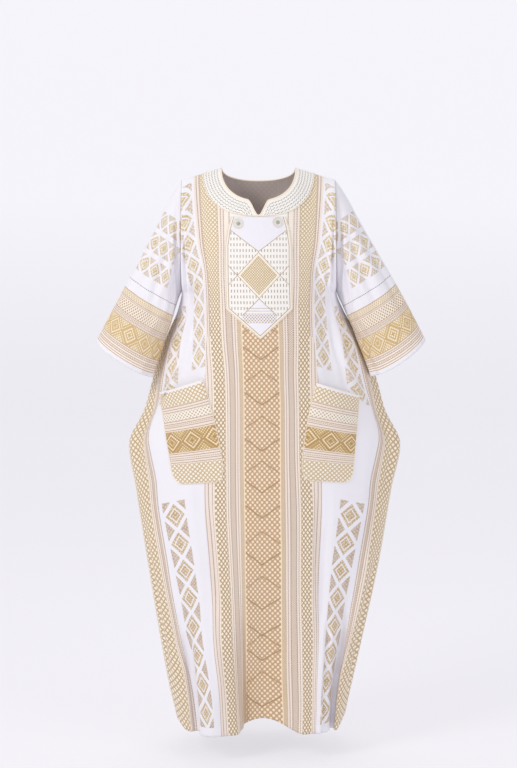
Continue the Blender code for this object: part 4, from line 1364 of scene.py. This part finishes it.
edges = {}
for face, outward in (("front", -1), ("back", 1)):
    (inner_x, inner_z), (outer_x, outer_z) = band_curves(face)
    q = np.linspace(0.0, 1.0, 17)
    x = inner_x[:, None] * (1 - q) + outer_x[:, None] * q
    z = inner_z[:, None] * (1 - q) + outer_z[:, None] * q
    base = place_at(face, x, z)
    base[[0, -1], :, 1] = outward * SEAM_GAP / 2
    normal = outward_normals(base, outward)
    normal[[0, -1], :, 1] = 0.0
    normal[[0, -1], :, 2] = 1.0
    normal = unit(normal)
    middle = base[:, 8]
    along = lengths_along(middle)
    wide = lengths_along(base, axis=1)
    uv = np.stack([np.broadcast_to(along[:, None], wide.shape), wide], -1)
    obj = shell("neck_band_%s_cloth" % face, base + normal * (LIFT + LAID_ON),
                base + normal * LIFT, uv, [BAND_FACE, LINING], flip=face == "front")
    rest_on_root(obj, "neck_band_" + face, slot_name="white_embroidered_cloth")
    face + "_cloth"
    edges[face] = (base[:, 0] + normal[:, 0] * 0.0006, base[:, -1] + normal[:, -1] * 0.0014)

for name, index, radius, material in (("neck_binding", 0, 0.0021, PALE_CORD),
                                      ("neck_band_cord", 1, 0.0012, PALE_CORD)):
    path = np.concatenate([edges["front"][index], edges["back"][index][-2:0:-1]])
    obj = tube(name, path, radius, material, closed=True)
    rest_on_root(obj, slot_name="white_embroidered_cloth")

# bib
bib_z = np.array([row[1] for row in BIB_OUTLINE])
bib_half = np.array([row[0] for row in BIB_OUTLINE])
levels = np.linspace(bib_z[0], bib_z[-1], 110)
half_width = np.interp(-levels, -bib_z, bib_half)
across = np.linspace(-1.0, 1.0, 61)
x = half_width[:, None] * across
z = np.broadcast_to(levels[:, None], x.shape)
base = place_at("front", x + centre_line(z), z)
normal = outward_normals(base, -1)
uv = np.stack([x, z], -1)
bib = shell("bib_cloth", base + normal * (LIFT + LAID_ON), base + normal * LIFT, uv,
            [BIB_FACE, LINING], flip=True)
rest_on_root(bib, "bib", slot_name="white_embroidered_cloth")
rim = np.concatenate([base[:, 0] + normal[:, 0] * 0.0013,
                      (base[:, -1] + normal[:, -1] * 0.0013)[::-1]])
obj = tube("bib_cord", rim, 0.0008, PALE_CORD)
rest_on_root(obj, slot_name="white_embroidered_cloth")


def eyelet(name, x, z):
    """A round embroidered eyelet: an outer ring, petals and a raised centre."""
    verts = []
    faces = []
    marks = []

    def ring(radius, thick, count=48, sides=8):
        start = len(verts)
        for i in range(count):
            a = 2 * np.pi * i / count
            for j in range(sides):
                b = 2 * np.pi * j / sides
                r = radius + thick * np.cos(b)
                verts.append((r * np.cos(a), thick * np.sin(b), r * np.sin(a)))
                marks.append((b * thick, a * radius))
        for i in range(count):
            for j in range(sides):
                a = start + i * sides + j
                b = start + i * sides + (j + 1) % sides
                c = start + (i + 1) % count * sides + (j + 1) % sides
                d = start + (i + 1) % count * sides + j
                faces.append((a, b, c, d))

    ring(0.0122, 0.0009)
    ring(0.0085, 0.0006)
    outer_count = len(faces)
    ring(0.0042, 0.0009, 36)
    ring(0.0016, 0.0011, 24)
    core_count = len(faces)
    for i in range(12):
        a = 2 * np.pi * i / 12
        start = len(verts)
        for k in range(7):
            r = 0.0073 + 0.0036 * k / 6
            wide = 0.0009 * np.sin(np.pi * (k + 0.4) / 6.8)
            for j in range(6):
                b = 2 * np.pi * j / 6
                side_step = wide * np.cos(b)
                verts.append((r * np.cos(a) - side_step * np.sin(a), 0.0006 * np.sin(b),
                              r * np.sin(a) + side_step * np.cos(a)))
                marks.append((b * 0.0006, r))
        for k in range(6):
            for j in range(6):
                p = start + k * 6 + j
                q = start + k * 6 + (j + 1) % 6
                faces.append((p, q, q + 6, p + 6))
    verts = np.array(verts)
    surface = place_at("front", verts[:, 0] + x, verts[:, 2] + z)
    surface[:, 1] += -(LIFT + LAID_ON + 0.0006) + verts[:, 1]
    faces = np.array(faces)
    layer = np.array(marks)[faces]
    slots = np.zeros(len(faces))
    slots[outer_count:core_count] = 1
    return make_object(name, surface, faces, {"Cloth": layer},
                       [EYELET_THREAD, EYELET_CORE], slots)


for name, x, z in (("eyelet_left", -0.0490, -0.1375), ("eyelet_right", 0.0472, -0.1345)):
    rest_on_root(eyelet(name, x, z), slot_name="white_embroidered_cloth")


# ---------------------------------------------------------------- pockets
def surface_tree(grid):
    corners, _ = quad_table(grid.shape[0], grid.shape[1], False)
    return BVHTree.FromPolygons([Vector(v) for v in grid.reshape(-1, 3)], corners.tolist())


FRONT_TREE = surface_tree(fronts["front"])


def foremost(x, z):
    """The front's point at x and z, as far forward as its near neighbours."""
    ahead = []
    facing = None
    for dx, dz in ((0, 0), (-POCKET_BRIDGE, 0), (POCKET_BRIDGE, 0),
                   (0, -POCKET_BRIDGE), (0, POCKET_BRIDGE)):
        spot, normal, _, _ = FRONT_TREE.ray_cast(Vector((x + dx, -1.0, z + dz)),
                                                 Vector((0, 1, 0)))
        facing = facing or (normal if normal.y < 0 else -normal)
        ahead.append(spot.y + (dx * facing.x + dz * facing.z) / facing.y)
    return np.array((x, min(ahead), z)), np.array(facing)


def pocket(side):
    corner = {name: np.array(place) for name, place in POCKET_CORNERS[side].items()}
    rows, columns = 72, 52
    inner = np.zeros((rows + 1, columns + 1, 3))
    facing = np.zeros_like(inner)
    for r in range(rows + 1):
        down = (r / rows) ** (1 / POCKET_CROWD)
        rounding = max(0.0, down - (1 - POCKET_ROUND)) / POCKET_ROUND
        inset = POCKET_ROUND * (1 - np.sqrt(max(0.0, 1 - rounding ** 2)))
        for c in range(columns + 1):
            even = c / columns
            across = inset + even * (1 - 2 * inset)
            top = corner["top_out"] + across * (corner["top_in"] - corner["top_out"])
            low = corner["low_out"] + across * (corner["low_in"] - corner["low_out"])
            x, z = top + down * (low - top)
            x -= np.sign(x) * POCKET_BOW * across * 4 * down * (1 - down)
            spot, normal = foremost(x, z)
            lips = (4 * even * (1 - even)) ** POCKET_LIPS
            open_by = POCKET_MOUTH * (1 - down) ** POCKET_CLOSING * lips
            inner[r, c] = spot + normal * POCKET_LIFT + np.array((0.0, -open_by, 0.0))
            facing[r, c] = normal
    wide = lengths_along(inner, axis=1)
    wide -= wide[:, columns // 2:columns // 2 + 1]
    deep = lengths_along(inner[:, columns // 2])
    deep = deep * POCKET_PATTERN / deep[-1]
    uv = np.stack([wide, np.broadcast_to(deep[:, None], wide.shape)], -1)
    outer = inner + facing * LAID_ON
    obj = shell("pocket_%s_cloth" % side, outer, inner, uv, [POCKET_FACE, LINING], flip=True)
    rest_on_root(obj, "pocket_" + side, slot_name="gold_woven_cloth")
    mouth = (outer[0] + inner[0]) / 2
    obj = tube("pocket_%s_hem" % side, mouth, 0.0015, WHITE_CORD)
    rest_on_root(obj, slot_name="gold_woven_cloth")
    edge = np.concatenate([outer[:, 0], outer[-1, 1:-1], outer[::-1, -1]])
    obj = tube("pocket_%s_cord" % side, edge, 0.0009, PALE_CORD, sides=8)
    rest_on_root(obj, slot_name="gold_woven_cloth")


for side in ("left", "right"):
    pocket(side)


# ---------------------------------------------------------------- stage
FLOOR_Z = -1.455
FLOOR_GREY = (0.28, 0.28, 0.29, 1.0)
WALL_GREY = (0.46, 0.46, 0.47, 1.0)
FOCAL = 84.375
CAMERA_AT = (0.0, -4.5, -0.18)
CAMERA_DOWN = 4.54       # degrees below the level


def stage_material():
    """Pale grey that grows lighter from the floor to the wall."""
    material = bpy.data.materials.new("pale_floor")
    material.use_nodes = True
    tree = material.node_tree
    shader = tree.nodes["Principled BSDF"]
    place = tree.nodes.new("ShaderNodeNewGeometry")
    split = tree.nodes.new("ShaderNodeSeparateXYZ")
    tree.links.new(place.outputs["Position"], split.inputs[0])
    rise = Field(tree, split.outputs[2]) - FLOOR_Z
    tree.links.new(mixed(tree, calc("MINIMUM", rise / 1.6, 1.0), FLOOR_GREY, WALL_GREY),
                   shader.inputs["Base Color"])
    shader.inputs["Roughness"].default_value = 0.9
    shader.inputs["Emission Color"].default_value = srgb(249, 247, 253)
    shader.inputs["Emission Strength"].default_value = 0.66
    return material


def curve_up(start, bend=5.0, top=12.0):
    """Places out and up of a floor that turns into a wall."""
    places = []
    for i in range(17):
        a = np.pi / 2 * i / 16
        places.append((start + bend * np.sin(a), FLOOR_Z + bend * (1 - np.cos(a))))
    return places + [(start + bend, top)]


def stage():
    """A floor that curves up behind the robe, and a round wall beyond it."""
    material = stage_material()
    profile = [(-14.0, FLOOR_Z)] + curve_up(7.0)
    xs = np.linspace(-16.0, 16.0, 9)
    grid = np.array([[(x, y, z) for x in xs] for y, z in profile])
    corners, _ = quad_table(len(profile), len(xs), False)
    floor = make_object("studio_floor", grid.reshape(-1, 3), corners[:, ::-1], {},
                        [material], np.zeros(len(corners)))
    turn = np.linspace(0.0, 2 * np.pi, 96, endpoint=False)
    profile = curve_up(8.0)
    grid = np.array([[(r * np.cos(a), r * np.sin(a), z + 0.002) for a in turn]
                     for r, z in profile])
    corners, _ = quad_table(len(profile), len(turn), True)
    wall = make_object("studio_wall", grid.reshape(-1, 3), corners, {},
                       [material], np.zeros(len(corners)))
    wall.visible_diffuse = False
    wall.visible_glossy = False
    wall.visible_shadow = False


stage()


def area_light(name, place, aim, wide, energy, colour=(1.0, 1.0, 1.0)):
    light = bpy.data.lights.new(name, "AREA")
    light.shape = "SQUARE"
    light.size = wide
    light.energy = energy
    light.color = colour
    obj = bpy.data.objects.new(name, light)
    obj.location = place
    obj.rotation_euler = (Vector(aim) - Vector(place)).to_track_quat("-Z", "Y").to_euler()
    bpy.context.scene.collection.objects.link(obj)


area_light("key", (-2.9, -2.7, 1.9), (0.0, 0.0, -0.3), 1.6, 84.0, (1.0, 0.98, 0.95))
area_light("fill", (3.2, -3.0, 0.9), (0.0, 0.0, -0.4), 2.4, 36.0, (1.0, 0.985, 0.97))
area_light("top", (0.0, 1.4, 2.6), (0.0, 0.0, -0.4), 2.0, 16.0)
world = bpy.data.worlds.new("studio")
bpy.context.scene.world = world
world.use_nodes = True
sky = world.node_tree.nodes["Background"]
sky.inputs["Color"].default_value = (0.955, 0.955, 1.0, 1.0)
sky.inputs["Strength"].default_value = 0.53
bpy.context.scene.view_settings.view_transform = "Standard"

lens = bpy.data.cameras.new("camera")
lens.lens = FOCAL
lens.sensor_width = 36.0
lens.sensor_fit = "AUTO"
lens.clip_start = 0.05
camera = bpy.data.objects.new("camera", lens)
camera.location = CAMERA_AT
camera.rotation_euler = (np.radians(90 - CAMERA_DOWN), 0.0, 0.0)
bpy.context.scene.collection.objects.link(camera)
bpy.context.scene.camera = camera
